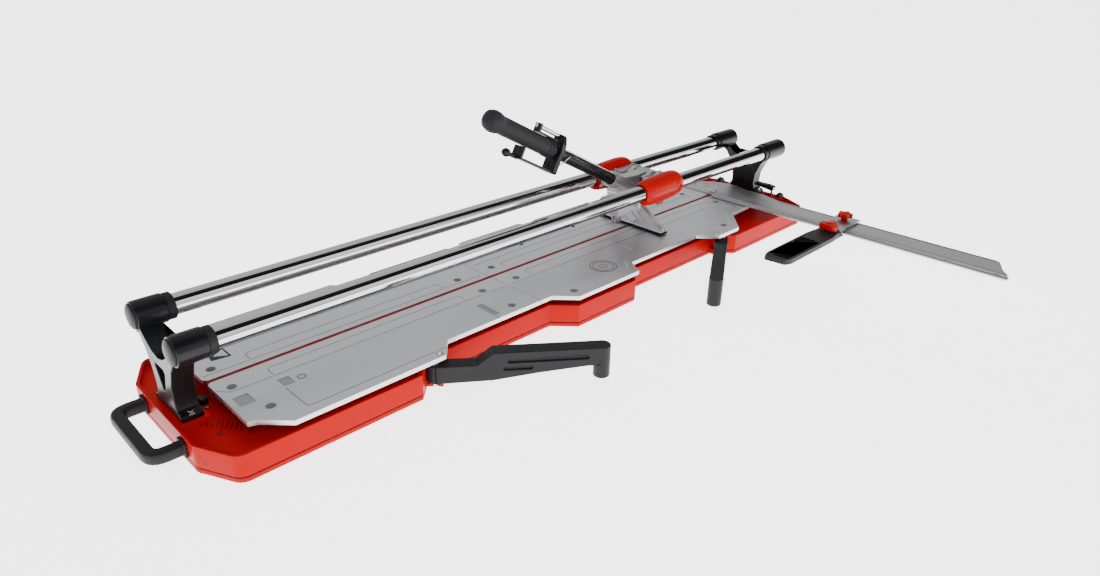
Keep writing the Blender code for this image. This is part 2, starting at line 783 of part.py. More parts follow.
# ======================================================================================
# handle and wheels
# ======================================================================================
def build_handle():
    half = HANDLE_WIDTH / 2
    wall = -HALF_LENGTH - GAP
    far = wall - HANDLE_REACH
    corners = [(wall, half, HANDLE_MIDDLE), (far, half, HANDLE_MIDDLE),
               (far, -half, HANDLE_MIDDLE), (wall, -half, HANDLE_MIDDLE)]
    path = curved_path(corners, 38.0, 6)
    h = HANDLE_SECTION / 2
    section = rounded(box_outline(-h, h, -h, h), 7.0, 2)
    flange = [prism(rounded(box_outline(side * half - 16, side * half + 16,
                                        HANDLE_MIDDLE - 15, HANDLE_MIDDLE + 15), 4.0, 2),
                    wall - 5.0, wall, "X") for side in (-1, 1)]
    part("carry_handle", sweep(path, section), "black_plastic", flange)


def build_wheels():
    for label, y in (("front", -WHEEL_Y), ("rear", WHEEL_Y)):
        h = WHEEL_WIDTH / 2
        inner = WHEEL_AXLE_RADIUS + RUNNING_GAP
        moving = pivot(f"pivot.wheel_{label}", WHEEL_X, y, WHEEL_Z)
        tyre = [(inner, y - h), (WHEEL_RADIUS - 3, y - h), (WHEEL_RADIUS, y - h + 3),
                (WHEEL_RADIUS, y + h - 3), (WHEEL_RADIUS - 3, y + h), (inner, y + h)]
        part(f"wheel_{label}", turned(tyre, "Y", (WHEEL_X, WHEEL_Z), 24), "black_plastic", parent=moving)
        part(f"wheel_axle_{label}", rod("Y", (WHEEL_X, WHEEL_Z), WHEEL_AXLE_RADIUS, y - h - 7, y + h + 7, 12),
             "steel")


# ======================================================================================
# side arms
# ======================================================================================
def arm_solids(sx, sy):
    """A side arm in its folded place, seen from its pivot: sx is its own direction."""
    half = ARM_WIDTH / 2
    side_view = [
        (1.7, ARM_ROOT_BOTTOM), (112.0, ARM_ROOT_BOTTOM + 2), (200.0, 34.0), (300.0, 44.0),
        (ARM_REACH - 1.7, 46.0), (ARM_REACH - 1.7, TABLE_TOP), (112.0, TABLE_TOP), (80.0, ARM_ROOT_TOP),
        (1.7, ARM_ROOT_TOP),
    ]
    body = prism([(sx * x, z) for x, z in side_view], 0.5 - half, half - 0.5, "Y")
    root = rod("Z", (0, 0), ARM_ROOT_RADIUS, ARM_ROOT_BOTTOM, ARM_ROOT_TOP, 24)
    foot = rod("Z", (sx * ARM_REACH, 0), half, ARM_FOOT_BOTTOM, TABLE_TOP, 24)
    hole = bore("Z", (0, 0), ARM_PIN_RADIUS + RUNNING_GAP, 0, 90, 16)
    slots = []
    for x0, x1, z0, z1 in ((140.0, 300.0, 60.0, 68.0), (132.0, 190.0, 44.0, 52.0)):
        outer = -half - 1 if sy < 0 else half - 5
        slots.append(prism(rounded(box_outline(min(sx * x0, sx * x1), max(sx * x0, sx * x1), z0, z1), 3.5, 2),
                           outer, outer + 6, "Y"))
    return body, [root, foot], [hole] + slots


def build_side_arms():
    openings = {(-1, -1): FRONT_LEFT_ARM_OPEN, (1, -1): FRONT_RIGHT_ARM_OPEN}
    for x, y, sx, sy in arm_corners():
        label = ("front" if sy < 0 else "rear") + ("_left" if sx < 0 else "_right")
        opened = openings.get((sx, sy), 0.0)
        turn = opened * (-sx) * sy
        moving = pivot(f"pivot.side_arm_{label}", x, y, 0.0, turn=turn)
        body, add, cut = arm_solids(-sx, sy)
        frame = Matrix.Translation(Vector((x, y, 0)) * MM) @ Matrix.Rotation(math.radians(turn), 4, "Z")
        part(f"side_arm_{label}", body, "black_plastic", add, cut, moving, frame)
        pin = [(0, ARM_LUG_BOTTOM + 3), (ARM_PIN_RADIUS, ARM_LUG_BOTTOM + 3),
               (ARM_PIN_RADIUS, ARM_ROOT_TOP + GAP), (9.0, ARM_ROOT_TOP + GAP),
               (9.0, ARM_ROOT_TOP + 3.5), (0, ARM_ROOT_TOP + 4.5)]
        part(f"arm_pin_{label}", turned(pin, "Z", (x, y), 16), "steel")


# ======================================================================================
# fence
# ======================================================================================
def build_fence_mount():
    x0 = TABLE_RIGHT_END + 1.5
    block = rounded(box_outline(x0, x0 + 92, -48, 48), 6.0, 2)
    bolt_hole = bore("Z", (FENCE_PIVOT_X, 0), FENCE_BOLT_RADIUS + 0.2, 60, 100, 16)
    bottom = TABLE_TOP - 0.5
    disc = [(x0 + 1.0, -95.0)]
    disc += circle(FENCE_PIVOT_X, 0, PROTRACTOR_RADIUS, 18, -62, 138)
    disc += [(x0 + 1.0, PROTRACTOR_RADIUS - 4)]
    plate = prism(disc, bottom, TABLE_TOP + PROTRACTOR_THICKNESS)
    part("fence_base", prism(block, TRAY_FLOOR + GAP, TABLE_TOP), "aluminium", [plate], [bolt_hole])
    top = RULER_BOTTOM + RULER_THICKNESS
    bolt = [(0, 66), (FENCE_BOLT_RADIUS, 66), (FENCE_BOLT_RADIUS, top + GAP), (12.0, top + GAP),
            (12.0, top + 4), (10.5, top + 5.5), (0, top + 5.5)]
    part("fence_bolt", turned(bolt, "Z", (FENCE_PIVOT_X, 0), 16), "steel")


def build_ruler(moving):
    stop_x = FENCE_PIVOT_X - RULER_STOP_OFFSET
    far_x = stop_x + RULER_WIDTH
    outer = -RULER_LENGTH
    top_plate = [(stop_x + 12, 18.0), (stop_x + 12, outer + 2), (stop_x + 24, outer + 6),
                 (stop_x + 48, outer + 24), (far_x, outer + 46), (far_x, -190.0), (far_x + 22, -120.0),
                 (far_x + 22, -60.0), (far_x - 10, 18.0)]
    lip = box_outline(stop_x, stop_x + RULER_LIP_WIDTH, outer, -12.0)
    hole = bore("Z", (FENCE_PIVOT_X, 0), FENCE_BOLT_RADIUS + RUNNING_GAP, 60, 110, 16)
    part("ruler", prism(top_plate, RULER_BOTTOM, RULER_BOTTOM + RULER_THICKNESS), "aluminium",
         [prism(lip, LIP_BOTTOM, RULER_BOTTOM + 1.2)], [hole], moving)


def build_sliding_stop(moving):
    stop_x = FENCE_PIVOT_X - RULER_STOP_OFFSET
    far_x = stop_x + RULER_WIDTH
    y0 = -STOP_POSITION - STOP_LENGTH / 2
    y1 = -STOP_POSITION + STOP_LENGTH / 2
    top = RULER_BOTTOM + RULER_THICKNESS
    gap = GAP + 0.2
    profile = [
        (stop_x - gap - 7, LIP_BOTTOM), (stop_x - gap, LIP_BOTTOM), (stop_x - gap, top + gap),
        (far_x + gap, top + gap), (far_x + gap, RULER_BOTTOM - gap), (far_x - 6, RULER_BOTTOM - gap),
        (far_x - 6, LIP_BOTTOM), (far_x + gap + 5, LIP_BOTTOM), (far_x + gap + 5, top + 8), (stop_x + 20, top + 8),
        (stop_x - gap - 7, top + 2),
    ]
    arm_x = FENCE_PIVOT_X - STOP_ARM_OFFSET
    arm_y = -STOP_POSITION - STOP_ARM_BACK
    tongue = rounded(box_outline(arm_x - 30, stop_x - gap - 4, arm_y - 28, arm_y + 30), 8.0, 2)
    stud = rod("Z", (arm_x, arm_y), 5.0, LIP_BOTTOM + 1, STOP_ARM_TOP + 12, 16)
    part("sliding_stop", prism(profile, y0, y1, "Y"), "aluminium",
         [prism(tongue, LIP_BOTTOM, STOP_ARM_BOTTOM - GAP), stud], (), moving)


def lobed_outline(cx, cy, radius, depth, lobes, steps=36):
    result = []
    for k in range(steps):
        a = 2 * math.pi * k / steps
        r = radius - depth * (0.5 - 0.5 * math.cos(lobes * a))
        result.append((cx + r * math.cos(a), cy + r * math.sin(a)))
    return result


def build_stop_arm(arm_pivot):
    x = FENCE_PIVOT_X - STOP_ARM_OFFSET
    y = -STOP_POSITION - STOP_ARM_BACK
    half = STOP_ARM_WIDTH / 2
    tip = x - STOP_ARM_LENGTH
    outline = [(x + 26, y - 14), (x + 26, y + 14), (x + 14, y + 26), (x - 60, y + half), (tip + 20, y + half),
               (tip, y + half - 6), (tip + 6, y - half + 8), (tip + 24, y - half), (x - 40, y - half),
               (x + 12, y - 26)]
    outline.reverse()
    hole = bore("Z", (x, y), 5.0 + RUNNING_GAP, 60, 130, 16)
    pockets = []
    start = tip + 14
    bay = 50.0
    for k in range(3):
        a = start + k * (bay + 6)
        low, high = y - half + 7, y + half - 7
        for triangle in ([(a, low), (a + bay, low), (a, high - 6)], [(a + bay, low + 6), (a + bay, high), (a, high)]):
            pockets.append(prism(rounded(triangle, 3.0, 1), STOP_ARM_TOP - 8, STOP_ARM_TOP + 5))
    part("stop_arm", prism(outline, STOP_ARM_BOTTOM, STOP_ARM_TOP), "black_plastic", (), [hole] + pockets, arm_pivot)


def build_knobs(knob_pivot, slider_pivot):
    x = FENCE_PIVOT_X - STOP_ARM_OFFSET
    y = -STOP_POSITION - STOP_ARM_BACK
    low = STOP_ARM_TOP + GAP
    knob = prism(lobed_outline(x, y, 27.0, 9.0, 3), low + 4, low + 20)
    skirt = rod("Z", (x, y), 13.0, low, low + 6, 24)
    hole = bore("Z", (x, y), 5.0 + RUNNING_GAP, 90, low + 13, 16)
    part("arm_knob", knob, "red_plastic", [skirt], [hole], knob_pivot)
    sx = FENCE_PIVOT_X + 42.0
    base = RULER_BOTTOM + RULER_THICKNESS + 8 + GAP
    star = prism(lobed_outline(sx, -STOP_POSITION, 21.0, 7.0, 5), base + 8, base + 20)
    neck = rod("Z", (sx, -STOP_POSITION), 9.0, base, base + 10, 24)
    part("slider_knob", star, "red_plastic", [neck], (), slider_pivot)


def build_fence_lock():
    x, y = LOCK_X, LOCK_Y
    eye = turned([(3.4, x - 3.5), (8.0, x - 3.5), (8.0, x + 3.5), (3.4, x + 3.5)], "X", (y, LOCK_HEIGHT), 16)
    stem = rod("Z", (x, y), 3.5, TRAY_FLOOR + GAP, LOCK_HEIGHT - 5, 16)
    flange = rod("Z", (x, y), 9.0, TRAY_FLOOR + GAP, TRAY_FLOOR + 4, 16)
    part("lock_bolt", eye, "chrome", [stem, flange])
    moving = pivot("pivot.lock_lever", x, y, LOCK_HEIGHT)
    bar = prism([(y - 8, LOCK_HEIGHT - 3), (y - 4, LOCK_HEIGHT - 8), (y + 6, LOCK_HEIGHT - 7),
                 (y + 56, LOCK_HEIGHT - 1), (y + 60, LOCK_HEIGHT + 4), (y + 54, LOCK_HEIGHT + 8),
                 (y + 4, LOCK_HEIGHT + 8), (y - 6, LOCK_HEIGHT + 6)], x - 9, x + 9, "X")
    notch = box(x - 4.2, x + 4.2, y - 20, y + 14, LOCK_HEIGHT - 20, LOCK_HEIGHT + 20)
    pin = rod("X", (y, LOCK_HEIGHT), 3.0, x - 6, x + 6, 12)
    lever = part("lock_lever", bar, "black_plastic", (), [notch], moving)
    join_late(lever, pin, moving)


def build_fence():
    build_fence_mount()
    swing = pivot("pivot.ruler", FENCE_PIVOT_X, 0, RULER_BOTTOM)
    build_ruler(swing)
    slide = pivot("pivot.sliding_stop", FENCE_PIVOT_X, -STOP_POSITION, RULER_BOTTOM, swing)
    build_sliding_stop(slide)
    arm_x = FENCE_PIVOT_X - STOP_ARM_OFFSET
    arm_y = -STOP_POSITION - STOP_ARM_BACK
    arm = pivot("pivot.stop_arm", arm_x, arm_y, STOP_ARM_BOTTOM, slide)
    build_stop_arm(arm)
    knob = pivot("pivot.arm_knob", arm_x, arm_y, STOP_ARM_TOP, slide)
    slider = pivot("pivot.slider_knob", FENCE_PIVOT_X + 42.0, -STOP_POSITION, RULER_BOTTOM, slide)
    build_knobs(knob, slider)
    build_fence_lock()


# ======================================================================================
# carriage
# ======================================================================================
def cap_outline():
    """Side view of a carriage cap as (x, z) points."""
    x, z = CARRIAGE_X, RAIL_HEIGHT
    half = CARRIAGE_CAP_LENGTH / 2
    low = z - SLEEVE_RADIUS
    high = z + SLEEVE_RADIUS
    points = [(x - half, z - 18), (x - 22, low - 5), (x - 12, low - 13), (x + 8, low - 13), (x + 14, low - 3),
              (x + 46, low + 1), (x + half, z - 8), (x + half - 2, z + 14), (x + 30, high + 9), (x - 36, high + 11),
              (x - half + 4, z + 18)]
    return rounded(points, 9.0, 2)


def build_carriage_cap(label, side, moving):
    y = side * RAIL_Y
    inner = side * (RAIL_Y - SLEEVE_RADIUS + 2)
    outer = side * (RAIL_Y + SLEEVE_RADIUS + 4)
    body = prism(cap_outline(), min(inner, outer), max(inner, outer), "Y")
    half = BUSH_LENGTH / 2 + 2
    room = bore("X", (y, RAIL_HEIGHT), SLEEVE_RADIUS + GAP, CARRIAGE_X - half - 1, CARRIAGE_X + half + 1, 24)
    rail = bore("X", (y, RAIL_HEIGHT), RAIL_RADIUS + 1.0, CARRIAGE_X - 120, CARRIAGE_X + 120, 24)
    beam = box(CARRIAGE_X - 10, CARRIAGE_X + 90, -RAIL_Y - 10 - GAP, RAIL_Y + 10 + GAP,
               BEAM_BOTTOM - GAP, BEAM_TOP + GAP)
    part(f"carriage_cap_{label}", body, "red_plastic", (), [room, rail, beam], moving)


def build_carriage(moving):
    beam_x0 = CARRIAGE_X - 10 + GAP
    beam_x1 = CARRIAGE_X + 70
    beam = box(beam_x0, beam_x1, -RAIL_Y - 10, RAIL_Y + 10, BEAM_BOTTOM, BEAM_TOP)
    half = BUSH_LENGTH / 2 + 2
    sleeves = [rod("X", (y, RAIL_HEIGHT), SLEEVE_RADIUS, CARRIAGE_X - half, CARRIAGE_X + half, 24)
               for y in (-RAIL_Y, RAIL_Y)]
    cuts = [bore("X", (y, RAIL_HEIGHT), BUSH_RADIUS + GAP, CARRIAGE_X - 150, CARRIAGE_X + 150, 24)
            for y in (-RAIL_Y, RAIL_Y)]
    slot = HUB_WIDTH / 2 + 3.5
    cuts.append(box(beam_x0 - 10, PIVOT_X + HUB_RADIUS + 4, -slot, slot, BEAM_BOTTOM - 10, BEAM_TOP + 30))
    for side in (-1, 1):
        cuts.append(box(beam_x0 - 10, beam_x0 + 18, min(side * 36, side * 10), max(side * 36, side * 10),
                        BEAM_BOTTOM - 10, BEAM_TOP + 30))
    cuts.append(bore("Y", (PIVOT_X, PIVOT_Z), PIVOT_PIN_RADIUS + 0.2, -50, 50, 16))
    ears = [turned([(0, side * 21), (18, side * 21), (18, side * 34), (0, side * 34)], "Y", (PIVOT_X, PIVOT_Z), 24)
            for side in (-1, 1)]
    part("carriage_body", beam, "cast_aluminium", sleeves + ears, cuts, moving)
    for label, y in (("front", -RAIL_Y), ("rear", RAIL_Y)):
        low = CARRIAGE_X - BUSH_LENGTH / 2
        high = CARRIAGE_X + BUSH_LENGTH / 2
        ring = [(RAIL_RADIUS + RUNNING_GAP, low), (BUSH_RADIUS, low), (BUSH_RADIUS, high),
                (RAIL_RADIUS + RUNNING_GAP, high)]
        part(f"slide_bush_{label}", turned(ring, "X", (y, RAIL_HEIGHT), 24), "bronze", parent=moving)
    build_carriage_cap("front", -1, moving)
    build_carriage_cap("rear", 1, moving)
    part("lever_pin", rod("Y", (PIVOT_X, PIVOT_Z), PIVOT_PIN_RADIUS, -37, 37, 16), "steel", parent=moving)


def lever_frame():
    """Frame of the straight lever: its own -X runs up the tube."""
    place = Matrix.Translation(Vector((LEVER_ROOT_X, 0, LEVER_ROOT_Z)) * MM)
    return place @ Matrix.Rotation(math.radians(LEVER_ANGLE), 4, "Y")


def build_lever_root(moving):
    half = HUB_WIDTH / 2
    inverse = lever_frame().inverted()
    outline = [(WHEEL_HOLDER_X - 14, HOLDER_TOP), (WHEEL_HOLDER_X + 12, HOLDER_TOP), (WHEEL_HOLDER_X + 26, 152.0),
               (FOOT_PIVOT_X - 9, FOOT_PIVOT_Z - 4), (FOOT_PIVOT_X + 9, FOOT_PIVOT_Z - 4),
               (FOOT_PIVOT_X + 16, FOOT_PIVOT_Z + 22), (PIVOT_X + 10, PIVOT_Z - 13), (PIVOT_X + 10, PIVOT_Z + 8),
               (PIVOT_X - 4, PIVOT_Z + 14), (PIVOT_X - 44, PIVOT_Z + 12), (252.0, 232.0), (236.0, 196.0)]
    body = prism(outline, -half, half, "Y")
    hub = rod("Y", (PIVOT_X, PIVOT_Z), HUB_RADIUS, -half - 2, half + 2, 24)
    lug = rod("Y", (FOOT_PIVOT_X, FOOT_PIVOT_Z), 10.5, -half, half, 16)
    socket = rod("X", (0, 0), TUBE_RADIUS + 6, -60, 22, 24)
    tube_hole = bore("X", (0, 0), TUBE_RADIUS + GAP, -80, 0, 24)
    for solid in (socket, tube_hole):
        bmesh.ops.transform(solid, matrix=scaled_frame(lever_frame()), verts=solid.verts)
    cuts = [tube_hole, bore("Y", (PIVOT_X, PIVOT_Z), PIVOT_PIN_RADIUS + RUNNING_GAP, -50, 50, 16),
            bore("Y", (FOOT_PIVOT_X, FOOT_PIVOT_Z), FOOT_PIN_RADIUS + 0.2, -50, 50, 16)]
    part("lever_root", body, "cast_aluminium", [hub, lug, socket], cuts, moving)
    return inverse


def scaled_frame(frame):
    """The same frame for a mesh that is still in millimetres."""
    result = frame.copy()
    result.translation = frame.translation / MM
    return result


def build_lever(moving):
    build_lever_root(moving)
    frame = lever_frame()
    part("lever_tube", rod("X", (0, 0), TUBE_RADIUS, -TUBE_LENGTH, -GAP, 24), "black_cast", parent=moving,
         local=frame)
    g0, g1 = -GRIP_START, -GRIP_START - GRIP_LENGTH
    inner = TUBE_RADIUS + GAP
    r, e = GRIP_RADIUS, GRIP_END_RADIUS
    grip = [(inner, g0), (r - 1, g0), (r, g0 - 2), (r, g1 + 44), (e - 1, g1 + 32), (e, g1 + 20),
            (e * 0.86, g1 + 8), (e * 0.5, g1 + 1.5), (0, g1), (0, -TUBE_LENGTH - GAP), (inner, -TUBE_LENGTH - GAP)]
    part("lever_grip", closed_turn(grip), "black_rubber", parent=moving, local=frame)
    build_lever_bracket(moving, frame)


def closed_turn(profile):
    """Turn a profile about the X axis whose two middle points lie on the axis."""
    split = [i for i, point in enumerate(profile) if point[0] == 0][0]
    loop = [(0, profile[split + 1][1])] + profile[split + 2:] + profile[:split] + [(0, profile[split][1])]
    return turned(loop, "X", (0, 0), 24)


def build_lever_bracket(moving, frame):
    front = -278.0
    back = -292.0
    plate = rounded([(-20, -52), (20, -52), (20, -20), (23, 0), (20, 22), (11, 42), (-11, 42), (-20, 22), (-23, 0),
                     (-20, -20)], 4.0, 1)
    body = prism(plate, back, front, "X")
    top = 36.0
    bridge = box(-372, front, -9, 9, GRIP_RADIUS + 1.0, GRIP_RADIUS + 5.0)
    ear = box(-372, -364, -9, 9, GRIP_RADIUS + 1.0, top + 7)
    shelf = box(-404, front, -16, 16, -52, -46)
    upright = box(-404, -397, -16, 16, -52, -GRIP_RADIUS - 1.0)
    stem = rod("X", (0, -49), 5.0, -432, -400, 12)
    ball = turned([(0, -446), (6, -445), (9, -441), (10, -436), (9, -431), (6, -427), (0, -427)],
                  "X", (0, -49), 16)
    cuts = [bore("X", (0, 0), TUBE_RADIUS + GAP, -300, -270, 24),
            bore("X", (0, top), 5.0 + GAP, -380, -270, 12),
            bore("X", (0, -32), 5.0, -300, -270, 12)]
    part("lever_bracket", body, "black_cast", [bridge, ear, shelf, upright, stem, ball], cuts, moving, frame)
    part("bracket_pin", rod("X", (0, top), 5.0, -375, -275, 16), "chrome", parent=moving, local=frame)
    side = TUBE_RADIUS + 3.5
    start = -60.0 - GAP
    low_end = [(-250, side, 6), (-272, side, -24)]
    far_end = [(x, -y, z) for x, y, z in reversed(low_end)]
    corners = [(start, side, 2)] + low_end + [(-273, 0, -30)] + far_end + [(start, -side, 2)]
    wire = sweep(curved_path(corners, 9.0, 3), circle(0, 0, 1.8, 6))
    part("wire_clip", wire, "chrome", parent=moving, local=frame)


def build_scoring(moving, spin):
    x = WHEEL_HOLDER_X
    half = 8.0
    top = HOLDER_TOP - GAP
    block = prism(rounded(box_outline(x - 11, x + 11, SCORING_Z - 8, top), 3.0, 1), -half, half, "Y")
    slot = box(x - 30, x + 30, -SCORING_WIDTH / 2 - 0.5, SCORING_WIDTH / 2 + 0.5, 60, SCORING_Z + SCORING_RADIUS + 1)
    axle = rod("Y", (x, SCORING_Z), SCORING_AXLE_RADIUS, -half - 1.5, half + 1.5, 12)
    holder = part("wheel_holder", block, "chrome", (), [slot], moving)
    join_late(holder, axle, moving)
    w = SCORING_WIDTH / 2
    inner = SCORING_AXLE_RADIUS + RUNNING_GAP
    profile = [(inner, -w), (SCORING_RADIUS - 3, -w), (SCORING_RADIUS, 0), (SCORING_RADIUS - 3, w), (inner, w)]
    part("scoring_wheel", turned(profile, "Y", (x, SCORING_Z), 24), "hard_metal", parent=spin)


def build_breaker(moving, foot_pivot):
    x = FOOT_PIVOT_X
    base = PAD_BOTTOM + PAD_THICKNESS + GAP
    half = FOOT_WIDTH / 2
    inner = HUB_WIDTH / 2 + GAP + 0.2
    cheek = inner + 9.0
    fan = [(half, base), (half, base + 6), (cheek + 4, FOOT_PIVOT_Z - 4), (cheek, FOOT_PIVOT_Z + 10),
           (inner, FOOT_PIVOT_Z + 10), (inner, FOOT_PIVOT_Z - 12)]
    outline = fan + [(-y, z) for y, z in reversed(fan)]
    body = prism(outline, x - FOOT_THICKNESS / 2, x + FOOT_THICKNESS / 2, "X")
    sole = box(x - 13, x + 13, -half, half, base, base + 4)
    hole = bore("Y", (x, FOOT_PIVOT_Z), FOOT_PIN_RADIUS + RUNNING_GAP, -60, 60, 16)
    windows = []
    for side in (-1, 1):
        points = [(side * 24, base + 10), (side * 80, base + 10), (side * 30, FOOT_PIVOT_Z - 18),
                  (side * 24, FOOT_PIVOT_Z - 18)]
        if side < 0:
            points.reverse()
        windows.append(prism(rounded(points, 3.0, 1), x + 4, x + 30, "X"))
    part("breaker_foot", body, "cast_aluminium", [sole], [hole] + windows, foot_pivot)
    part("breaker_pad", box(x - 14, x + 14, -half - 1, half + 1, PAD_BOTTOM, PAD_BOTTOM + PAD_THICKNESS),
         "black_rubber", parent=foot_pivot)
    part("foot_pin", rod("Y", (x, FOOT_PIVOT_Z), FOOT_PIN_RADIUS, -cheek - 2, cheek + 2, 16), "steel",
         parent=moving)


def build_carriage_group():
    slide = pivot("pivot.carriage", CARRIAGE_X, 0, RAIL_HEIGHT)
    build_carriage(slide)
    lever = pivot("pivot.lever", PIVOT_X, 0, PIVOT_Z, slide)
    build_lever(lever)
    spin = pivot("pivot.scoring_wheel", WHEEL_HOLDER_X, 0, SCORING_Z, lever)
    build_scoring(lever, spin)
    foot = pivot("pivot.breaker", FOOT_PIVOT_X, 0, FOOT_PIVOT_Z, lever)
    build_breaker(lever, foot)


def main():
    for existing in list(bpy.data.objects):
        bpy.data.objects.remove(existing)
    build_base()
    build_foot_pads()
    build_tables()
    build_strip()
    build_support("support_left", -1, LEFT_SOCKET_INNER)
    build_support("support_right", 1, RIGHT_SOCKET_INNER)
    build_rails()
    build_handle()
    build_wheels()
    build_side_arms()
    build_fence()
    build_carriage_group()


main()
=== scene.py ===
"""Looks of a long manual tile cutter: paint, castings, tables, rails, fence and carriage.

Lengths are in metres. X runs along the rails towards the ruler, Y to the rear, Z up.
"""
import json
import math

import bmesh
import bpy
from bpy.props import FloatProperty, FloatVectorProperty, PointerProperty
from bpy.types import Operator, Panel, PropertyGroup
from mathutils import Matrix, Vector


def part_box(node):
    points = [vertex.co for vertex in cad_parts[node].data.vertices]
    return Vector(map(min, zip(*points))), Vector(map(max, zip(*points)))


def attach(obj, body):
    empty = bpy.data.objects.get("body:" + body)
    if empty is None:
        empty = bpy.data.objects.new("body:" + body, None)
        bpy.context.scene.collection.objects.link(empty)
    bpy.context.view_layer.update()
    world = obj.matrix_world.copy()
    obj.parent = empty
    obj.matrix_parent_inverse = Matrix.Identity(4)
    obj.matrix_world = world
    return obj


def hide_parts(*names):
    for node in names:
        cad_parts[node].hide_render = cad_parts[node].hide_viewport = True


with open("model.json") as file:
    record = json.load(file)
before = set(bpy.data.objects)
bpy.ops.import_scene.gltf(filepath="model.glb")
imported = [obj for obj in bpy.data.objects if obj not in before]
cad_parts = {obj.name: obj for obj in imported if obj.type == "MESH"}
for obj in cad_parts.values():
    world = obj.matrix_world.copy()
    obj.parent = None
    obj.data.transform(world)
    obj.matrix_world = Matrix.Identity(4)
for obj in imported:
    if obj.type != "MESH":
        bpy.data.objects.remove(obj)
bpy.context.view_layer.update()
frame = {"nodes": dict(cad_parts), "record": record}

bl_info = {
    "name": "Manual Tile Cutter",
    "version": (1, 0, 0),
    "blender": (4, 5, 0),
    "location": "View3D > Sidebar > Tile Cutter",
    "description": "Builds the finishes and small parts of a long manual tile cutter",
    "category": "Object",
}

MM = 0.001
TABLE_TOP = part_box("table_front_left")[1].z
RULER_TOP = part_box("ruler")[1].z
TRAY_LOW, TRAY_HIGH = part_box("base_tray")
TRAY_FLOOR = 45 * MM
RAIL_LOW, RAIL_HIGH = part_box("rail_front")
RAIL_Y = -(RAIL_LOW.y + RAIL_HIGH.y) / 2
RAIL_Z = (RAIL_LOW.z + RAIL_HIGH.z) / 2
LEVER_ANGLE = math.radians(28.15)
LEVER_ROOT = Vector((280, 0, 205.8)) * MM
PROTRACTOR_CENTRE = Vector((710, 0)) * MM
ARM_KNOB_CENTRE = (640 * MM, -415 * MM)
SLIDER_KNOB_CENTRE = (752 * MM, -402 * MM)
CAMERA_PLACE = (-1.2383, -1.2566, 0.8357)
CAMERA_YAW, CAMERA_PITCH, CAMERA_ROLL = (math.radians(a) for a in (45.05, 25.46, 0.86))
CAMERA_LENS = 25.41     # millimetres on a 36 mm wide sensor
FLOOR_HALF = 30.0
FLOOR_GLOW = 3.2
DOME_STRENGTH = 1.3
DARK_BAND = 0.34        # middle of the dark band overhead, as a share of a half turn from the front


# ----------------------------------------------------------------------------------------
# settings
# ----------------------------------------------------------------------------------------
def colour_setting(name, description, value):
    return FloatVectorProperty(name=name, description=description, subtype="COLOR", size=3,
                               min=0.0, max=1.0, default=value)


def length_setting(name, description, value):
    return FloatProperty(name=name, description=description, subtype="DISTANCE", unit="LENGTH",
                         min=0.0, default=value)


class TileCutterColours(PropertyGroup):
    paint: colour_setting("Red paint", "Paint of the tray", (0.44, 0.002, 0.003))
    strip: colour_setting("Breaker strip", "Strip in the slot between the tables", (0.32, 0.004, 0.004))
    knob_red: colour_setting("Red plastic", "Caps of the carriage and the knobs", (0.42, 0.002, 0.003))
    casting_black: colour_setting("Black casting", "Rail supports and lever tube", (0.006, 0.006, 0.007))
    plastic_black: colour_setting("Black plastic", "Side arms, wheels and handle", (0.014, 0.014, 0.015))
    rubber_black: colour_setting("Black rubber", "Grip, pads and feet", (0.014, 0.014, 0.015))
    zinc: colour_setting("Table metal", "Top of the tables", (0.66, 0.67, 0.69))
    # Dark line colour: the dark rings and the arc line, and painted shade on the walls of the engraved table
    # lines.
    zinc_line_and_groove_shade: colour_setting("Table line and groove shade", "Engraved lines in the tables", (0.10, 0.10, 0.11))
    plug_grey: colour_setting("Grey plug", "Plugs in the tables", (0.13, 0.135, 0.14))
    aluminium: colour_setting("Aluminium", "Ruler, protractor and sliding stop", (0.56, 0.56, 0.57))
    cast_metal: colour_setting("Cast aluminium", "Carriage body and breaker foot", (0.58, 0.58, 0.59))
    chrome: colour_setting("Chrome", "Guide rails and small pins", (0.62, 0.62, 0.63))
    # Dark colour of the scale marks and the label, also used as painted shade in the corner slots and the
    # ruler's grooves.
    mark: colour_setting("Marks and shade", "Scale marks and dark inlays", (0.05, 0.05, 0.055))
    light_mark: colour_setting("Light marks", "Light strokes on the tables", (0.62, 0.62, 0.62))


class TileCutterSizes(PropertyGroup):
    edge: length_setting("Edge rounding", "Rounding of a moulded or cast edge", 1.6 * MM)
    fine_edge: length_setting("Fine edge rounding", "Rounding of a sheet or machined edge", 0.6 * MM)
    groove_pitch: length_setting("Groove pitch", "Spacing of the fine grooves in the tables", 4.5 * MM)
    mark_pitch: length_setting("Scale pitch", "Spacing of the marks on the ruler", 10 * MM)
    mark_width: length_setting("Mark width", "Width of a scale mark", 0.7 * MM)
    line_width: length_setting("Line width", "Width of an engraved line in a table", 1.6 * MM)
    line_depth: length_setting("Line depth", "Depth of an engraved line in a table", 0.7 * MM)
    bolt_head: length_setting("Bolt head radius", "Radius of the bolts that hold the supports", 6.5 * MM)


# ----------------------------------------------------------------------------------------
# meshes
# ----------------------------------------------------------------------------------------
def in_metres(points):
    """Points given in millimetres, in metres."""
    return [(u * MM, v * MM) for u, v in points]


def circle(cx, cy, radius, steps=48):
    angles = [math.radians(360.0 * k / steps) for k in range(steps)]
    return [(cx + radius * math.cos(a), cy + radius * math.sin(a)) for a in angles]


def place_on(axis, u, v, w):
    """Point at (u, v) in the plane across an axis and at w along it."""
    if axis == "Z":
        return (u, v, w)
    if axis == "X":
        return (w, u, v)
    return (u, w, v)


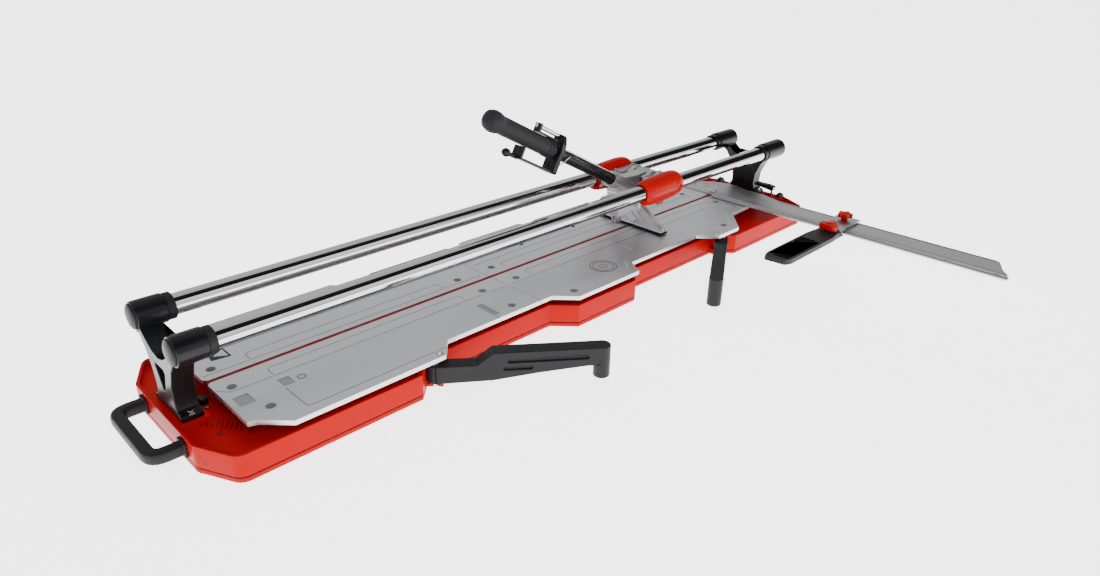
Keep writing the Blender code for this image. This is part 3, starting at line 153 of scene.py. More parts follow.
def add_prism(bm, outline, low, high, axis="Z"):
    """Add an extruded outline to a mesh."""
    first = [bm.verts.new(place_on(axis, u, v, low)) for u, v in outline]
    second = [bm.verts.new(place_on(axis, u, v, high)) for u, v in outline]
    made = [bm.faces.new(first), bm.faces.new(second)]
    count = len(outline)
    for i in range(count):
        j = (i + 1) % count
        made.append(bm.faces.new((first[i], first[j], second[j], second[i])))
    bmesh.ops.recalc_face_normals(bm, faces=made)


def add_box(bm, x0, x1, y0, y1, z0, z1):
    add_prism(bm, [(x0, y0), (x1, y0), (x1, y1), (x0, y1)], z0, z1)


def add_turned(bm, profile, axis, centre, steps=48):
    """Add a turned profile of (radius, place) points; radius 0 closes an end."""
    rings = []
    for radius, place in profile:
        if radius < 1e-7:
            rings.append([bm.verts.new(place_on(axis, centre[0], centre[1], place))])
        else:
            rings.append([bm.verts.new(place_on(axis, u, v, place))
                          for u, v in circle(centre[0], centre[1], radius, steps)])
    pairs = list(zip(rings, rings[1:]))
    if len(rings[0]) > 1:
        pairs.append((rings[-1], rings[0]))
    made = []
    for a, b in pairs:
        for i in range(steps):
            j = (i + 1) % steps
            corners = []
            for corner in (a[i % len(a)], a[j % len(a)], b[j % len(b)], b[i % len(b)]):
                if corner not in corners:
                    corners.append(corner)
            if len(corners) > 2:
                made.append(bm.faces.new(corners))
    bmesh.ops.recalc_face_normals(bm, faces=made)


def add_ring(bm, centre, inner, outer, low, high, steps=24):
    """Add a flat ring with square edges."""
    add_turned(bm, [(inner, low), (outer, low), (outer, high), (inner, high)], "Z", centre, steps)


def rounded(points, radius, steps=5):
    """Round every corner of a closed outline."""
    result = []
    count = len(points)
    for i in range(count):
        here = Vector(points[i])
        before = Vector(points[i - 1]) - here
        after = Vector(points[(i + 1) % count]) - here
        angle = before.angle(after)
        cut = min(radius / math.tan(angle / 2), before.length * 0.49, after.length * 0.49)
        start = here + before.normalized() * cut
        end = here + after.normalized() * cut
        for k in range(steps + 1):
            t = k / steps
            result.append(tuple(start * (1 - t) ** 2 + here * 2 * t * (1 - t) + end * t ** 2))
    return result


def settings():
    return bpy.context.scene.tile_cutter_sizes


def shade(mesh, angle=38.0):
    mesh.shade_smooth()
    mesh.set_sharp_from_angle(angle=math.radians(angle))


def piece(name, bm, material, body, rounding=0.0, segments=3, matrix=None):
    """Make an object from a mesh, give it its finish and let it ride on a body."""
    if matrix is not None:
        bmesh.ops.transform(bm, matrix=matrix, verts=bm.verts)
    mesh = bpy.data.meshes.new(name)
    bm.to_mesh(mesh)
    bm.free()
    shade(mesh)
    made = bpy.data.objects.new(name, mesh)
    bpy.context.scene.collection.objects.link(made)
    mesh.materials.append(finish(material))
    if rounding > 0:
        soft_edges(made, rounding, segments)
    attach(made, body)
    return made


def soft_edges(made, width, segments=3):
    made.data.shade_smooth()
    made.data.set_sharp_from_angle(angle=math.radians(60))
    bevel = made.modifiers.new("Rounded edges", "BEVEL")
    bevel.width = width
    bevel.segments = segments
    bevel.limit_method = "ANGLE"
    bevel.angle_limit = math.radians(32)
    bevel.use_clamp_overlap = False
    bevel.miter_outer = "MITER_ARC"
    normals = made.modifiers.new("Even shading", "WEIGHTED_NORMAL")
    normals.keep_sharp = False


def node_body(node):
    for body, members in frame["record"]["behaviour"]["bodies"].items():
        if node in members:
            return body
    raise ValueError(f"no body holds {node}")


def ribbon(points, width):
    """Closed outline of a band that follows an open line."""
    left, right = [], []
    for i, point in enumerate(points):
        here = Vector(point)
        before = here - Vector(points[i - 1]) if i else Vector(points[1]) - here
        after = Vector(points[i + 1]) - here if i + 1 < len(points) else before
        along = (before.normalized() + after.normalized()).normalized()
        across = Vector((-along.y, along.x)) * width / 2
        left.append(tuple(here + across))
        right.append(tuple(here - across))
    return left + right[::-1]


def bent(points, radius, steps=4):
    """Round the inner corners of an open line."""
    result = [points[0]]
    for i in range(1, len(points) - 1):
        here = Vector(points[i])
        before = Vector(points[i - 1]) - here
        after = Vector(points[i + 1]) - here
        cut = min(radius, before.length * 0.45, after.length * 0.45)
        start = here + before.normalized() * cut
        end = here + after.normalized() * cut
        for k in range(steps + 1):
            t = k / steps
            result.append(tuple(start * (1 - t) ** 2 + here * 2 * t * (1 - t) + end * t ** 2))
    return result + [points[-1]]


def section_outline(node, height):
    """Outer outline of a CAD node at a height, as (x, y) points."""
    bm = bmesh.new()
    bm.from_mesh(frame["nodes"][node].data)
    bm.transform(frame["nodes"][node].matrix_world)
    bmesh.ops.remove_doubles(bm, verts=bm.verts, dist=2e-5)
    cut = bmesh.ops.bisect_plane(bm, geom=bm.verts[:] + bm.edges[:] + bm.faces[:], dist=1e-6,
                                 plane_co=(0, 0, height), plane_no=(0, 0, 1))
    edges = [e for e in cut["geom_cut"] if isinstance(e, bmesh.types.BMEdge)]
    links = {}
    for edge in edges:
        a, b = edge.verts
        links.setdefault(a, []).append(b)
        links.setdefault(b, []).append(a)
    here = min(links, key=lambda v: v.co.x)
    loop, before = [], None
    while here is not None and here not in loop:
        loop.append(here)
        onward = [v for v in links[here] if v is not before and v not in loop]
        before, here = here, (onward[0] if onward else None)
    points = [(v.co.x, v.co.y) for v in loop]
    bm.free()
    return points


def carve(made, cutter, material):
    """Cut shapes out of a piece as it stands; the cuts get their own finish."""
    mesh = bpy.data.meshes.new("cutter")
    cutter.to_mesh(mesh)
    cutter.free()
    mesh.materials.append(finish(material))
    tool = bpy.data.objects.new("cutter", mesh)
    bpy.context.scene.collection.objects.link(tool)
    cut = made.modifiers.new("Cut", "BOOLEAN")
    cut.operation = "DIFFERENCE"
    cut.solver = "EXACT"
    cut.material_mode = "TRANSFER"
    cut.object = tool
    bpy.context.view_layer.update()
    made.data = bpy.data.meshes.new_from_object(made.evaluated_get(bpy.context.evaluated_depsgraph_get()))
    made.modifiers.clear()
    bpy.data.objects.remove(tool)


def engrave(made, cutter, material):
    """Carve a piece whose edges are rounded and shade it again."""
    made.modifiers.remove(made.modifiers["Even shading"])
    carve(made, cutter, material)
    made.data.set_sharp_from_angle(angle=math.radians(38))
    normals = made.modifiers.new("Even shading", "WEIGHTED_NORMAL")
    normals.keep_sharp = True


def dress(nodes, material):
    """Give CAD nodes a finish and keep their shape."""
    for node in nodes:
        made = frame["nodes"][node]
        made.data.materials.clear()
        made.data.materials.append(finish(material))


def soften(node, material, width=None, segments=3, dissolve=True, shape=None, shape_material=None):
    """Stand in for a CAD node with rounded edges; shape may work on the mesh before that."""
    source = frame["nodes"][node]
    bm = bmesh.new()
    bm.from_mesh(source.data)
    bmesh.ops.remove_doubles(bm, verts=bm.verts, dist=2e-5)
    if dissolve:
        bmesh.ops.dissolve_limit(bm, angle_limit=math.radians(0.6), verts=bm.verts, edges=bm.edges)
    if shape:
        shape(bm)
    mesh = bpy.data.meshes.new(f"{node}_shell")
    bm.to_mesh(mesh)
    bm.free()
    made = bpy.data.objects.new(f"{node}_shell", mesh)
    bpy.context.scene.collection.objects.link(made)
    mesh.materials.append(finish(material))
    if shape_material:
        mesh.materials.append(finish(shape_material))
    soft_edges(made, settings().edge if width is None else width, segments)
    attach(made, node_body(node))
    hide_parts(node)
    return made


# ----------------------------------------------------------------------------------------
# shader groups
# ----------------------------------------------------------------------------------------
def new_group(name, inputs, outputs):
    group = bpy.data.node_groups.new(name, "ShaderNodeTree")
    for label, kind, value in inputs:
        socket = group.interface.new_socket(name=label, in_out="INPUT", socket_type=kind)
        socket.default_value = value
    for label, kind in outputs:
        group.interface.new_socket(name=label, in_out="OUTPUT", socket_type=kind)
    return group, group.nodes.new("NodeGroupInput"), group.nodes.new("NodeGroupOutput")


def noise_node(nodes, links, vector, scale, detail, roughness=0.5):
    noise = nodes.new("ShaderNodeTexNoise")
    noise.inputs["Detail"].default_value = detail
    noise.inputs["Roughness"].default_value = roughness
    links.new(vector, noise.inputs["Vector"])
    if isinstance(scale, float):
        noise.inputs["Scale"].default_value = scale
    else:
        links.new(scale, noise.inputs["Scale"])
    return noise.outputs["Fac"]


def surface_grain_group():
    """Roughness that wanders over a surface, fine height and a mask of faint stains."""
    name = "Surface Grain"
    if name in bpy.data.node_groups:
        return bpy.data.node_groups[name]
    group, given, result = new_group(
        name,
        [("Grain Scale", "NodeSocketFloat", 900.0), ("Stain Scale", "NodeSocketFloat", 9.0),
         ("Low", "NodeSocketFloat", 0.3), ("High", "NodeSocketFloat", 0.45)],
        [("Roughness", "NodeSocketFloat"), ("Height", "NodeSocketFloat"), ("Stains", "NodeSocketFloat")])
    nodes, links = group.nodes, group.links
    place = nodes.new("ShaderNodeTexCoord").outputs["Object"]
    wide = noise_node(nodes, links, place, given.outputs["Stain Scale"], 5.0, 0.6)
    fine = noise_node(nodes, links, place, given.outputs["Grain Scale"], 3.0)
    spread = nodes.new("ShaderNodeMapRange")
    spread.inputs["From Min"].default_value = 0.3
    spread.inputs["From Max"].default_value = 0.7
    links.new(wide, spread.inputs["Value"])
    links.new(given.outputs["Low"], spread.inputs["To Min"])
    links.new(given.outputs["High"], spread.inputs["To Max"])
    ramp = nodes.new("ShaderNodeMapRange")
    ramp.inputs["From Min"].default_value = 0.5
    ramp.inputs["From Max"].default_value = 0.75
    links.new(wide, ramp.inputs["Value"])
    links.new(spread.outputs["Result"], result.inputs["Roughness"])
    links.new(fine, result.inputs["Height"])
    links.new(ramp.outputs["Result"], result.inputs["Stains"])
    return group


def brushed_group():
    """Fine parallel lines, stretched by the given vector."""
    name = "Brushed Lines"
    if name in bpy.data.node_groups:
        return bpy.data.node_groups[name]
    group, given, result = new_group(
        name,
        [("Stretch", "NodeSocketVector", (1.0, 1.0, 1.0)), ("Low", "NodeSocketFloat", 0.25),
         ("High", "NodeSocketFloat", 0.45)],
        [("Roughness", "NodeSocketFloat"), ("Height", "NodeSocketFloat"), ("Tone", "NodeSocketFloat")])
    nodes, links = group.nodes, group.links
    place = nodes.new("ShaderNodeTexCoord").outputs["Object"]
    stretch = nodes.new("ShaderNodeVectorMath")
    stretch.operation = "MULTIPLY"
    links.new(place, stretch.inputs[0])
    links.new(given.outputs["Stretch"], stretch.inputs[1])
    lines = noise_node(nodes, links, stretch.outputs["Vector"], 1.0, 4.0, 0.65)
    spread = nodes.new("ShaderNodeMapRange")
    spread.inputs["From Min"].default_value = 0.3
    spread.inputs["From Max"].default_value = 0.7
    links.new(lines, spread.inputs["Value"])
    links.new(given.outputs["Low"], spread.inputs["To Min"])
    links.new(given.outputs["High"], spread.inputs["To Max"])
    links.new(spread.outputs["Result"], result.inputs["Roughness"])
    links.new(lines, result.inputs["Height"])
    links.new(lines, result.inputs["Tone"])
    return group


def groove_group():
    """Straight grooves along X with a given pitch across Y."""
    name = "Straight Grooves"
    if name in bpy.data.node_groups:
        return bpy.data.node_groups[name]
    group, given, result = new_group(
        name, [("Pitch", "NodeSocketFloat", 0.005), ("Sharpness", "NodeSocketFloat", 0.35)],
        [("Height", "NodeSocketFloat")])
    nodes, links = group.nodes, group.links
    place = nodes.new("ShaderNodeTexCoord").outputs["Object"]
    split = nodes.new("ShaderNodeSeparateXYZ")
    links.new(place, split.inputs[0])
    turns = nodes.new("ShaderNodeMath")
    turns.operation = "DIVIDE"
    links.new(split.outputs["Y"], turns.inputs[0])
    links.new(given.outputs["Pitch"], turns.inputs[1])
    wave = nodes.new("ShaderNodeMath")
    wave.operation = "PINGPONG"
    wave.inputs[1].default_value = 0.5
    links.new(turns.outputs[0], wave.inputs[0])
    edge = nodes.new("ShaderNodeMapRange")
    edge.interpolation_type = "SMOOTHSTEP"
    edge.inputs["From Min"].default_value = 0.0
    links.new(wave.outputs[0], edge.inputs["Value"])
    links.new(given.outputs["Sharpness"], edge.inputs["From Max"])
    links.new(edge.outputs["Result"], result.inputs["Height"])
    return group


def add_group(material, group, **values):
    node = material.node_tree.nodes.new("ShaderNodeGroup")
    node.node_tree = group
    for label, value in values.items():
        node.inputs[label.replace("_", " ")].default_value = value
    return node


# ----------------------------------------------------------------------------------------
# finishes
# ----------------------------------------------------------------------------------------
def shader_of(material):
    return material.node_tree.nodes["Principled BSDF"]


def start_material(name, colour, metallic, specular=0.2):
    material = bpy.data.materials.new(name)
    material.use_nodes = True
    shader = shader_of(material)
    shader.inputs["Base Color"].default_value = (*colour, 1.0)
    shader.inputs["Metallic"].default_value = metallic
    shader.inputs["Specular IOR Level"].default_value = specular
    return material, shader


def connect_bump(material, height, strength, distance):
    bump = material.node_tree.nodes.new("ShaderNodeBump")
    bump.inputs["Strength"].default_value = strength
    bump.inputs["Distance"].default_value = distance
    material.node_tree.links.new(height, bump.inputs["Height"])
    material.node_tree.links.new(bump.outputs["Normal"], shader_of(material).inputs["Normal"])


def tint(material, mask, colour, other):
    """Colour the surface between two tones by a mask."""
    mix = material.node_tree.nodes.new("ShaderNodeMix")
    mix.data_type = "RGBA"
    mix.inputs["A"].default_value = (*colour, 1.0)
    mix.inputs["B"].default_value = (*other, 1.0)
    material.node_tree.links.new(mask, mix.inputs["Factor"])
    material.node_tree.links.new(mix.outputs["Result"], shader_of(material).inputs["Base Color"])


def shaded(colour, factor):
    return tuple(min(1.0, c * factor) for c in colour)


def grained(name, colour, low, high, metallic=0.0, grain=900.0, strength=0.12, depth=0.2 * MM,
            stain=0.82, specular=0.15):
    """A moulded, cast or painted finish: wandering gloss, fine grain and faint stains."""
    material, shader = start_material(name, colour, metallic, specular)
    grain_node = add_group(material, surface_grain_group(), Grain_Scale=grain, Low=low, High=high)
    links = material.node_tree.links
    links.new(grain_node.outputs["Roughness"], shader.inputs["Roughness"])
    tint(material, grain_node.outputs["Stains"], colour, shaded(colour, stain))
    connect_bump(material, grain_node.outputs["Height"], strength, depth)
    return material


def brushed(name, colour, stretch, low, high, strength=0.08, tone=0.8):
    """A machined metal with fine parallel lines."""
    material, shader = start_material(name, colour, 1.0)
    lines = add_group(material, brushed_group(), Stretch=stretch, Low=low, High=high)
    material.node_tree.links.new(lines.outputs["Roughness"], shader.inputs["Roughness"])
    tint(material, lines.outputs["Tone"], shaded(colour, tone), shaded(colour, 1.15))
    connect_bump(material, lines.outputs["Height"], strength, 0.1 * MM)
    return material


def table_metal(colours):
    sizes = settings()
    material = brushed("Table Metal", tuple(colours.zinc), (9.0, 420.0, 420.0), 0.30, 0.44, 0.05, 0.86)
    links = material.node_tree.links
    grooves = add_group(material, groove_group(), Pitch=sizes.groove_pitch, Sharpness=0.16)
    bump = next(n for n in material.node_tree.nodes if n.type == "BUMP")
    second = material.node_tree.nodes.new("ShaderNodeBump")
    second.inputs["Strength"].default_value = 0.25
    second.inputs["Distance"].default_value = 0.25 * MM
    links.new(grooves.outputs["Height"], second.inputs["Height"])
    links.new(bump.outputs["Normal"], second.inputs["Normal"])
    links.new(second.outputs["Normal"], shader_of(material).inputs["Normal"])
    return material


FINISHES = {}


def finish(name):
    return FINISHES[name]


def build_finishes():
    """Make every material once, from the colours in the settings."""
    c = bpy.context.scene.tile_cutter_colours
    FINISHES["paint"] = grained("Red Paint", tuple(c.paint), 0.28, 0.40, strength=0.05, stain=0.9,
                                specular=0.05)
    # Red darkened to a quarter: painted shade on the faces of the seam groove.
    FINISHES["paint_groove_shade"] = grained("Red Paint Groove Shade", shaded(tuple(c.paint), 0.25), 0.5, 0.6)
    # Red darkened to under half: painted shade on the raised floor ticks.
    FINISHES["paint_shade"] = grained("Red Paint Tick Shade", shaded(tuple(c.paint), 0.45), 0.3, 0.42)
    # Dark lines and rings, and painted shade on the walls of the engraved lines.
    FINISHES["table_line_and_groove_shade"] = grained("Table Line And Groove Shade", tuple(c.zinc_line_and_groove_shade), 0.4, 0.5, metallic=0.6)
    # Darker copy of the table metal: painted shade on the floors of the recesses and the walls of the holes.
    FINISHES["table_recess_shade"] = brushed("Table Recess Shade", shaded(tuple(c.zinc), 0.62), (9.0, 420.0, 420.0),
                                       0.34, 0.5)
    FINISHES["plug"] = grained("Grey Plug", tuple(c.plug_grey), 0.4, 0.55)
    FINISHES["strip"] = grained("Breaker Strip", tuple(c.strip), 0.42, 0.55, grain=600.0)
    FINISHES["red_plastic"] = grained("Red Plastic", tuple(c.knob_red), 0.18, 0.28, strength=0.03,
                                      stain=0.92, specular=0.10)
    FINISHES["casting"] = grained("Black Casting", tuple(c.casting_black), 0.20, 0.38, grain=500.0,
                                  strength=0.16, stain=1.5, specular=0.22)
    FINISHES["plastic"] = grained("Black Plastic", tuple(c.plastic_black), 0.38, 0.55, grain=1400.0,
                                  strength=0.15, stain=1.35)
    FINISHES["rubber"] = grained("Black Rubber", tuple(c.rubber_black), 0.48, 0.66, grain=1800.0,
                                 strength=0.3, stain=1.5)
    FINISHES["table"] = table_metal(c)
    FINISHES["aluminium"] = brushed("Brushed Aluminium", tuple(c.aluminium), (420.0, 9.0, 420.0), 0.30, 0.46)
    FINISHES["plain_metal"] = brushed("Turned Steel", tuple(c.aluminium), (200.0, 200.0, 30.0), 0.18, 0.32)
    FINISHES["cast_metal"] = grained("Cast Aluminium", tuple(c.cast_metal), 0.34, 0.50, metallic=1.0,
                                     grain=420.0, strength=0.35, stain=0.75)
    FINISHES["cast_bright"] = grained("Bright Casting", shaded(tuple(c.cast_metal), 1.45), 0.24, 0.36,
                                      metallic=1.0, grain=420.0, strength=0.3, stain=0.8)
    FINISHES["chrome"] = brushed("Chrome", tuple(c.chrome), (14.0, 160.0, 160.0), 0.07, 0.13, 0.02, 0.92)
    # Real scale marks and the label, and painted shade for the corner slots and the ruler's grooves.
    FINISHES["mark"] = grained("Dark Mark And Shade", tuple(c.mark), 0.5, 0.65)
    FINISHES["light_mark"] = grained("Light Mark", tuple(c.light_mark), 0.4, 0.55)


# ----------------------------------------------------------------------------------------
# small shared pieces
# ----------------------------------------------------------------------------------------
def add_hex_bolt(bm, centre, place, radius, height, axis="Z", side=1):
    """Hexagon head on a washer."""
    add_turned(bm, [(0, place), (radius * 1.45, place), (radius * 1.45, place + side * height * 0.2),
                    (0, place + side * height * 0.2)], axis, centre, 24)
    add_prism(bm, circle(centre[0], centre[1], radius, 6), place + side * height * 0.2,
              place + side * height, axis)


def add_socket_screw(bm, centre, place, radius, height, axis="Z", side=1):
    """Round screw head with a hexagon recess ring."""
    top = place + side * height
    add_turned(bm, [(0, place), (radius, place), (radius, top - side * height * 0.15),
                    (radius * 0.86, top), (radius * 0.52, top), (radius * 0.5, place + side * height * 0.4),
                    (0, place + side * height * 0.4)], axis, centre, 24)


class TileCutterStep:
    """Shared by the steps that build the tile cutter."""

    bl_options = {"REGISTER", "UNDO"}


class TILECUTTER_OT_base(TileCutterStep, Operator):
    """Painted tray with its seam, floor ticks, corner slots, strip and feet"""

    bl_idname = "tile_cutter.base"
    bl_label = "Base Tray"

    def execute(self, context):
        sizes = settings()
        soften("base_tray", "paint", sizes.edge, 2, False, self.seam, "paint_groove_shade")
        soften("breaker_strip", "strip", sizes.fine_edge, 2)
        dress(["foot_pad_left", "foot_pad_middle", "foot_pad_right"], "rubber")
        self.floor_ticks()
        self.handle_slots()
        return {"FINISHED"}

    def seam(self, bm):
        """Groove all around the outer wall, just above its foot; its faces take a darker red as painted
        shade.
        """
        low, middle, high = 12.0 * MM, 13.2 * MM, 14.4 * MM
        depth, near_wall = 1.3 * MM, 0.05 * MM
        outline = [Vector(point) for point in section_outline("base_tray", middle)]
        count = len(outline)
        for height in (low, middle, high):
            bmesh.ops.bisect_plane(bm, geom=bm.verts[:] + bm.edges[:] + bm.faces[:], dist=1e-6,
                                   plane_co=(0, 0, height), plane_no=(0, 0, 1))
        area = sum(outline[i - 1].cross(outline[i]) for i in range(count))
        inwards = 1.0 if area > 0 else -1.0
        for vert in [v for v in bm.verts if abs(v.co.z - middle) < 1e-6]:
            nearest = min(range(count), key=lambda i: (outline[i] - vert.co.xy).length_squared)
            here = outline[nearest]
            if (here - vert.co.xy).length > near_wall:
                continue
            d1 = (here - outline[nearest - 1]).normalized()
            d2 = (outline[(nearest + 1) % count] - here).normalized()
            across = (Vector((-d1.y, d1.x)) + Vector((-d2.y, d2.x))) * inwards
            vert.co.xy += across.normalized() * depth
            for face in vert.link_faces:
                centre = face.calc_center_median()
                if low < centre.z < high and abs(face.normal.z) < 0.9:
                    # Faces in the groove take the darker red: painted shade.
                    face.material_index = 1

    def floor_ticks(self):
        """Fan of raised ticks in the tray's floor beside the left support, with a small ring, in a darker red
        that paints their shade.
        """
        bm = bmesh.new()
        low, high = TRAY_FLOOR - 0.5 * MM, TRAY_FLOOR + 1.0 * MM
        for k in range(9):
            start = Vector((-871 + 4.9 * k, -44 - 8 * k)) * MM
            end = start + Vector((-15 + 0.4 * k, -22 + 0.6 * k)) * MM
            add_prism(bm, ribbon([tuple(start), tuple(end)], 2.4 * MM), low, high)
        add_ring(bm, (-872 * MM, -108 * MM), 3.4 * MM, 6.2 * MM, low, high)
        for x, y in ((-834, -139), (-826, -132)):
            add_turned(bm, [(0, low), (2.4 * MM, low), (2.4 * MM, high), (0, high)], "Z",
                       (x * MM, y * MM), 16)
        piece("tray_floor_ticks", bm, "paint_shade", "frame", 0.3 * MM, 2)

    def handle_slots(self):
        """Two narrow slots in each slanted corner wall beside the handle, drawn as dark blocks: painted shade
        inside the slots.
        """
        bm = bmesh.new()
        corner = Vector((-925, -127)) * MM
        along = Vector((40, -81)).normalized()
        out = Vector((along.y, -along.x))
        for side in (-1, 1):
            for reach, height in ((12, 38), (20, 27)):
                middle = corner + along * reach * MM
                points = [middle - along * 0.9 * MM, middle + along * 0.9 * MM]
                quad = [points[0] + out * 0.25 * MM, points[1] + out * 0.25 * MM,
                        points[1] - out * 0.8 * MM, points[0] - out * 0.8 * MM]
                outline = [(q.x, -side * q.y) for q in quad]
                add_prism(bm, outline, (height - 4) * MM, (height + 4) * MM)
        piece("corner_slot_shade", bm, "mark", "frame")


class TILECUTTER_OT_tables(TileCutterStep, Operator):
    """Sprung tables with grooves, recesses, dots and holes"""

    bl_idname = "tile_cutter.tables"
    bl_label = "Tables"

    # Places in millimetres. A recess is its centre, half its length and half its width.
    LINES = {
        "front_left": (
            [(-744, -54), (-744, -28), (-298, -28), (-298, -59)],
            [(-749, -112), (-749, -190), (-299, -190), (-299, -110)],
            [(-840, -40), (-826, -60), (-190, -60)]),
        "rear_left": (
            [(-749, 26), (-749, 52), (-296, 52), (-296, 26)],
            [(-840, 22), (-190, 22)]),
        "front_right": (
            [(-99, -48), (-99, -26), (640, -26), (640, -48)],
            [(-170, -62), (600, -62)]),
        "rear_right": (
            [(-114, 22), (-114, 45), (640, 45), (640, 22)],
            [(-170, 76), (640, 76)]),
    }
    PLUGS = {
        "front_left": ((-816, -44), (-794, -146), (-242, -45), (-242, -143)),
        "rear_left": ((-818, 39), (-247, 38)),
        "front_right": ((-140, -44), (-92, -184), (508, -177), (655, -50)),
        "rear_right": ((-143, 40), (640, 62)),
    }
    HOLES = {
        "front_left": ((-480, -202),),
        "rear_left": ((-480, 150),),
        "front_right": ((449, -195),),
        "rear_right": ((7, 99), (197, 98), (420, 99)),
    }
    RECESSES = {
        "front_left": ((-819, -98, 14, 17), (-738, -92, 11, 14), (-293, -124, 8, 30)),
        "rear_left": (),
        "front_right": ((664, -96, 3, 20),),
        "rear_right": (),
    }
    STROKES = {
        "front_left": (),
        "rear_left": (),
        "front_right": (((654, -76), (655, -114)), ((600, -120), (536, -181)), ((188, -80), (190, -117)),
                        ((122, -152), (88, -192)), ((-6, -86), (-6, -104)), ((-22, -86), (-22, -104))),
        "rear_right": (((188, 118), (189, 130)),),
    }

    def execute(self, context):
        for where in ("front_left", "front_right", "rear_left", "rear_right"):
            table = soften(f"table_{where}", "table", settings().fine_edge, 2)
            self.cut_marks(table, where)
            self.plugs(where)
            self.strokes(where)
            dress([f"buffer_{where}"], "rubber")
        self.rings()
        self.label()
        self.clips()
        return {"FINISHED"}

    def cut_marks(self, table, where):
        """Engraved lines, recesses and through holes; their cut faces take darker finishes as painted shade.
        """
        bm = bmesh.new()
        depth = settings().line_depth
        for line in self.LINES[where]:
            points = bent(in_metres(line), 10 * MM)
            add_prism(bm, ribbon(points, settings().line_width), TABLE_TOP - depth, TABLE_TOP + depth)
        # The walls of the engraved lines take the dark line colour, which paints the shade in the grooves.
        engrave(table, bm, "table_line_and_groove_shade")
        bm = bmesh.new()
        for x, y in self.HOLES[where]:
            add_prism(bm, circle(x * MM, y * MM, 6.5 * MM, 24), TABLE_TOP - 20 * MM, TABLE_TOP + MM)
        for x, y, half_x, half_y in self.RECESSES[where]:
            corners = [(x - half_x, y - half_y), (x + half_x, y - half_y), (x + half_x, y + half_y),
                       (x - half_x, y + half_y)]
            outline = rounded(in_metres(corners), 3 * MM)
            add_prism(bm, outline, TABLE_TOP - 0.8 * MM, TABLE_TOP + MM)
        # Recess floors and hole walls take the darker metal: painted shade.
        engrave(table, bm, "table_recess_shade")

    def plugs(self, where):
        """Grey plugs, each in a thin ring."""
        bm = bmesh.new()
        for x, y in self.PLUGS[where]:
            centre = (x * MM, y * MM)
            add_turned(bm, [(0, TABLE_TOP - 1 * MM), (8.6 * MM, TABLE_TOP - 1 * MM),
                            (8.6 * MM, TABLE_TOP + 0.1 * MM), (8.0 * MM, TABLE_TOP + 0.5 * MM),
                            (0, TABLE_TOP + 0.6 * MM)], "Z", centre, 32)
        piece(f"table_plugs_{where}", bm, "plug", f"table_{where}")
        bm = bmesh.new()
        for x, y in self.PLUGS[where]:
            centre = (x * MM, y * MM)
            add_turned(bm, [(8.9 * MM, TABLE_TOP - 1 * MM), (10.4 * MM, TABLE_TOP - 1 * MM),
                            (10.4 * MM, TABLE_TOP + 0.15 * MM), (9.6 * MM, TABLE_TOP + 0.4 * MM),
                            (8.9 * MM, TABLE_TOP + 0.15 * MM)], "Z", centre, 32)
        for x, y in self.HOLES[where]:
            centre = (x * MM, y * MM)
            add_turned(bm, [(6.5 * MM, TABLE_TOP - 4 * MM), (8.2 * MM, TABLE_TOP - 1 * MM),
                            (8.2 * MM, TABLE_TOP + 0.15 * MM), (7.3 * MM, TABLE_TOP + 0.4 * MM),
                            (6.5 * MM, TABLE_TOP + 0.1 * MM)], "Z", centre, 32)
        piece(f"table_rings_{where}", bm, "aluminium", f"table_{where}")

    def strokes(self, where):
        """Raised light strokes of the tile scale."""
        if not self.STROKES[where]:
            return
        bm = bmesh.new()
        for start, end in self.STROKES[where]:
            add_prism(bm, ribbon(in_metres((start, end)), 2.6 * MM),
                      TABLE_TOP - 0.3 * MM, TABLE_TOP + 0.6 * MM)
        if where == "front_right":
            add_ring(bm, (578 * MM, -88 * MM), 6 * MM, 8.5 * MM, TABLE_TOP - 0.3 * MM, TABLE_TOP + 0.5 * MM)
        piece(f"table_strokes_{where}", bm, "light_mark", f"table_{where}", 0.3 * MM, 2)

    def rings(self):
        """Plain concentric rings on the wide middle part, and one ring around the left boss."""
        bm = bmesh.new()
        for radius, width in ((33, 1.8), (26, 1.2), (10, 1.2)):
            add_ring(bm, (58 * MM, -138 * MM), (radius - width) * MM, radius * MM,
                     TABLE_TOP - 0.3 * MM, TABLE_TOP + 0.45 * MM, 64)
        piece("badge_rings", bm, "table_line_and_groove_shade", "table_front_right", 0.2 * MM, 2)
        bm = bmesh.new()
        add_ring(bm, (-710 * MM, -96 * MM), 6.2 * MM, 8 * MM, TABLE_TOP - 0.3 * MM, TABLE_TOP + 0.5 * MM, 32)
        piece("boss_ring", bm, "table_line_and_groove_shade", "table_front_left", 0.2 * MM, 2)

    def label(self):
        """Plain dark plate with a light triangle at the left end of the rear table."""
        bm = bmesh.new()
        outline = [(-769, 60), (-769, 100), (-800, 104), (-806, 66)]
        add_prism(bm, rounded(in_metres(outline)[::-1], 2 * MM),
                  TABLE_TOP - 0.2 * MM, TABLE_TOP + 0.25 * MM)
        piece("table_label", bm, "mark", "table_rear_left")
        bm = bmesh.new()
        outline = [(-773, 66), (-773, 95), (-797, 80)]
        add_prism(bm, rounded(in_metres(outline), 1.5 * MM),
                  TABLE_TOP + 0.2 * MM, TABLE_TOP + 0.45 * MM)
        piece("table_label_mark", bm, "light_mark", "table_rear_left")

    def clips(self):
        """Black clip at the left end of the strip and a screw beside it."""
        bm = bmesh.new()
        add_box(bm, -862 * MM, -848 * MM, -9 * MM, 9 * MM, TRAY_FLOOR + 0.3 * MM, TRAY_FLOOR + 13 * MM)
        piece("strip_clip", bm, "casting", "frame", 2 * MM)
        bm = bmesh.new()
        for x, y in ((-856, -20), (-856, 20)):
            add_socket_screw(bm, (x * MM, y * MM), TRAY_FLOOR, 4.5 * MM, 4 * MM)
        piece("strip_clip_screws", bm, "plain_metal", "frame")


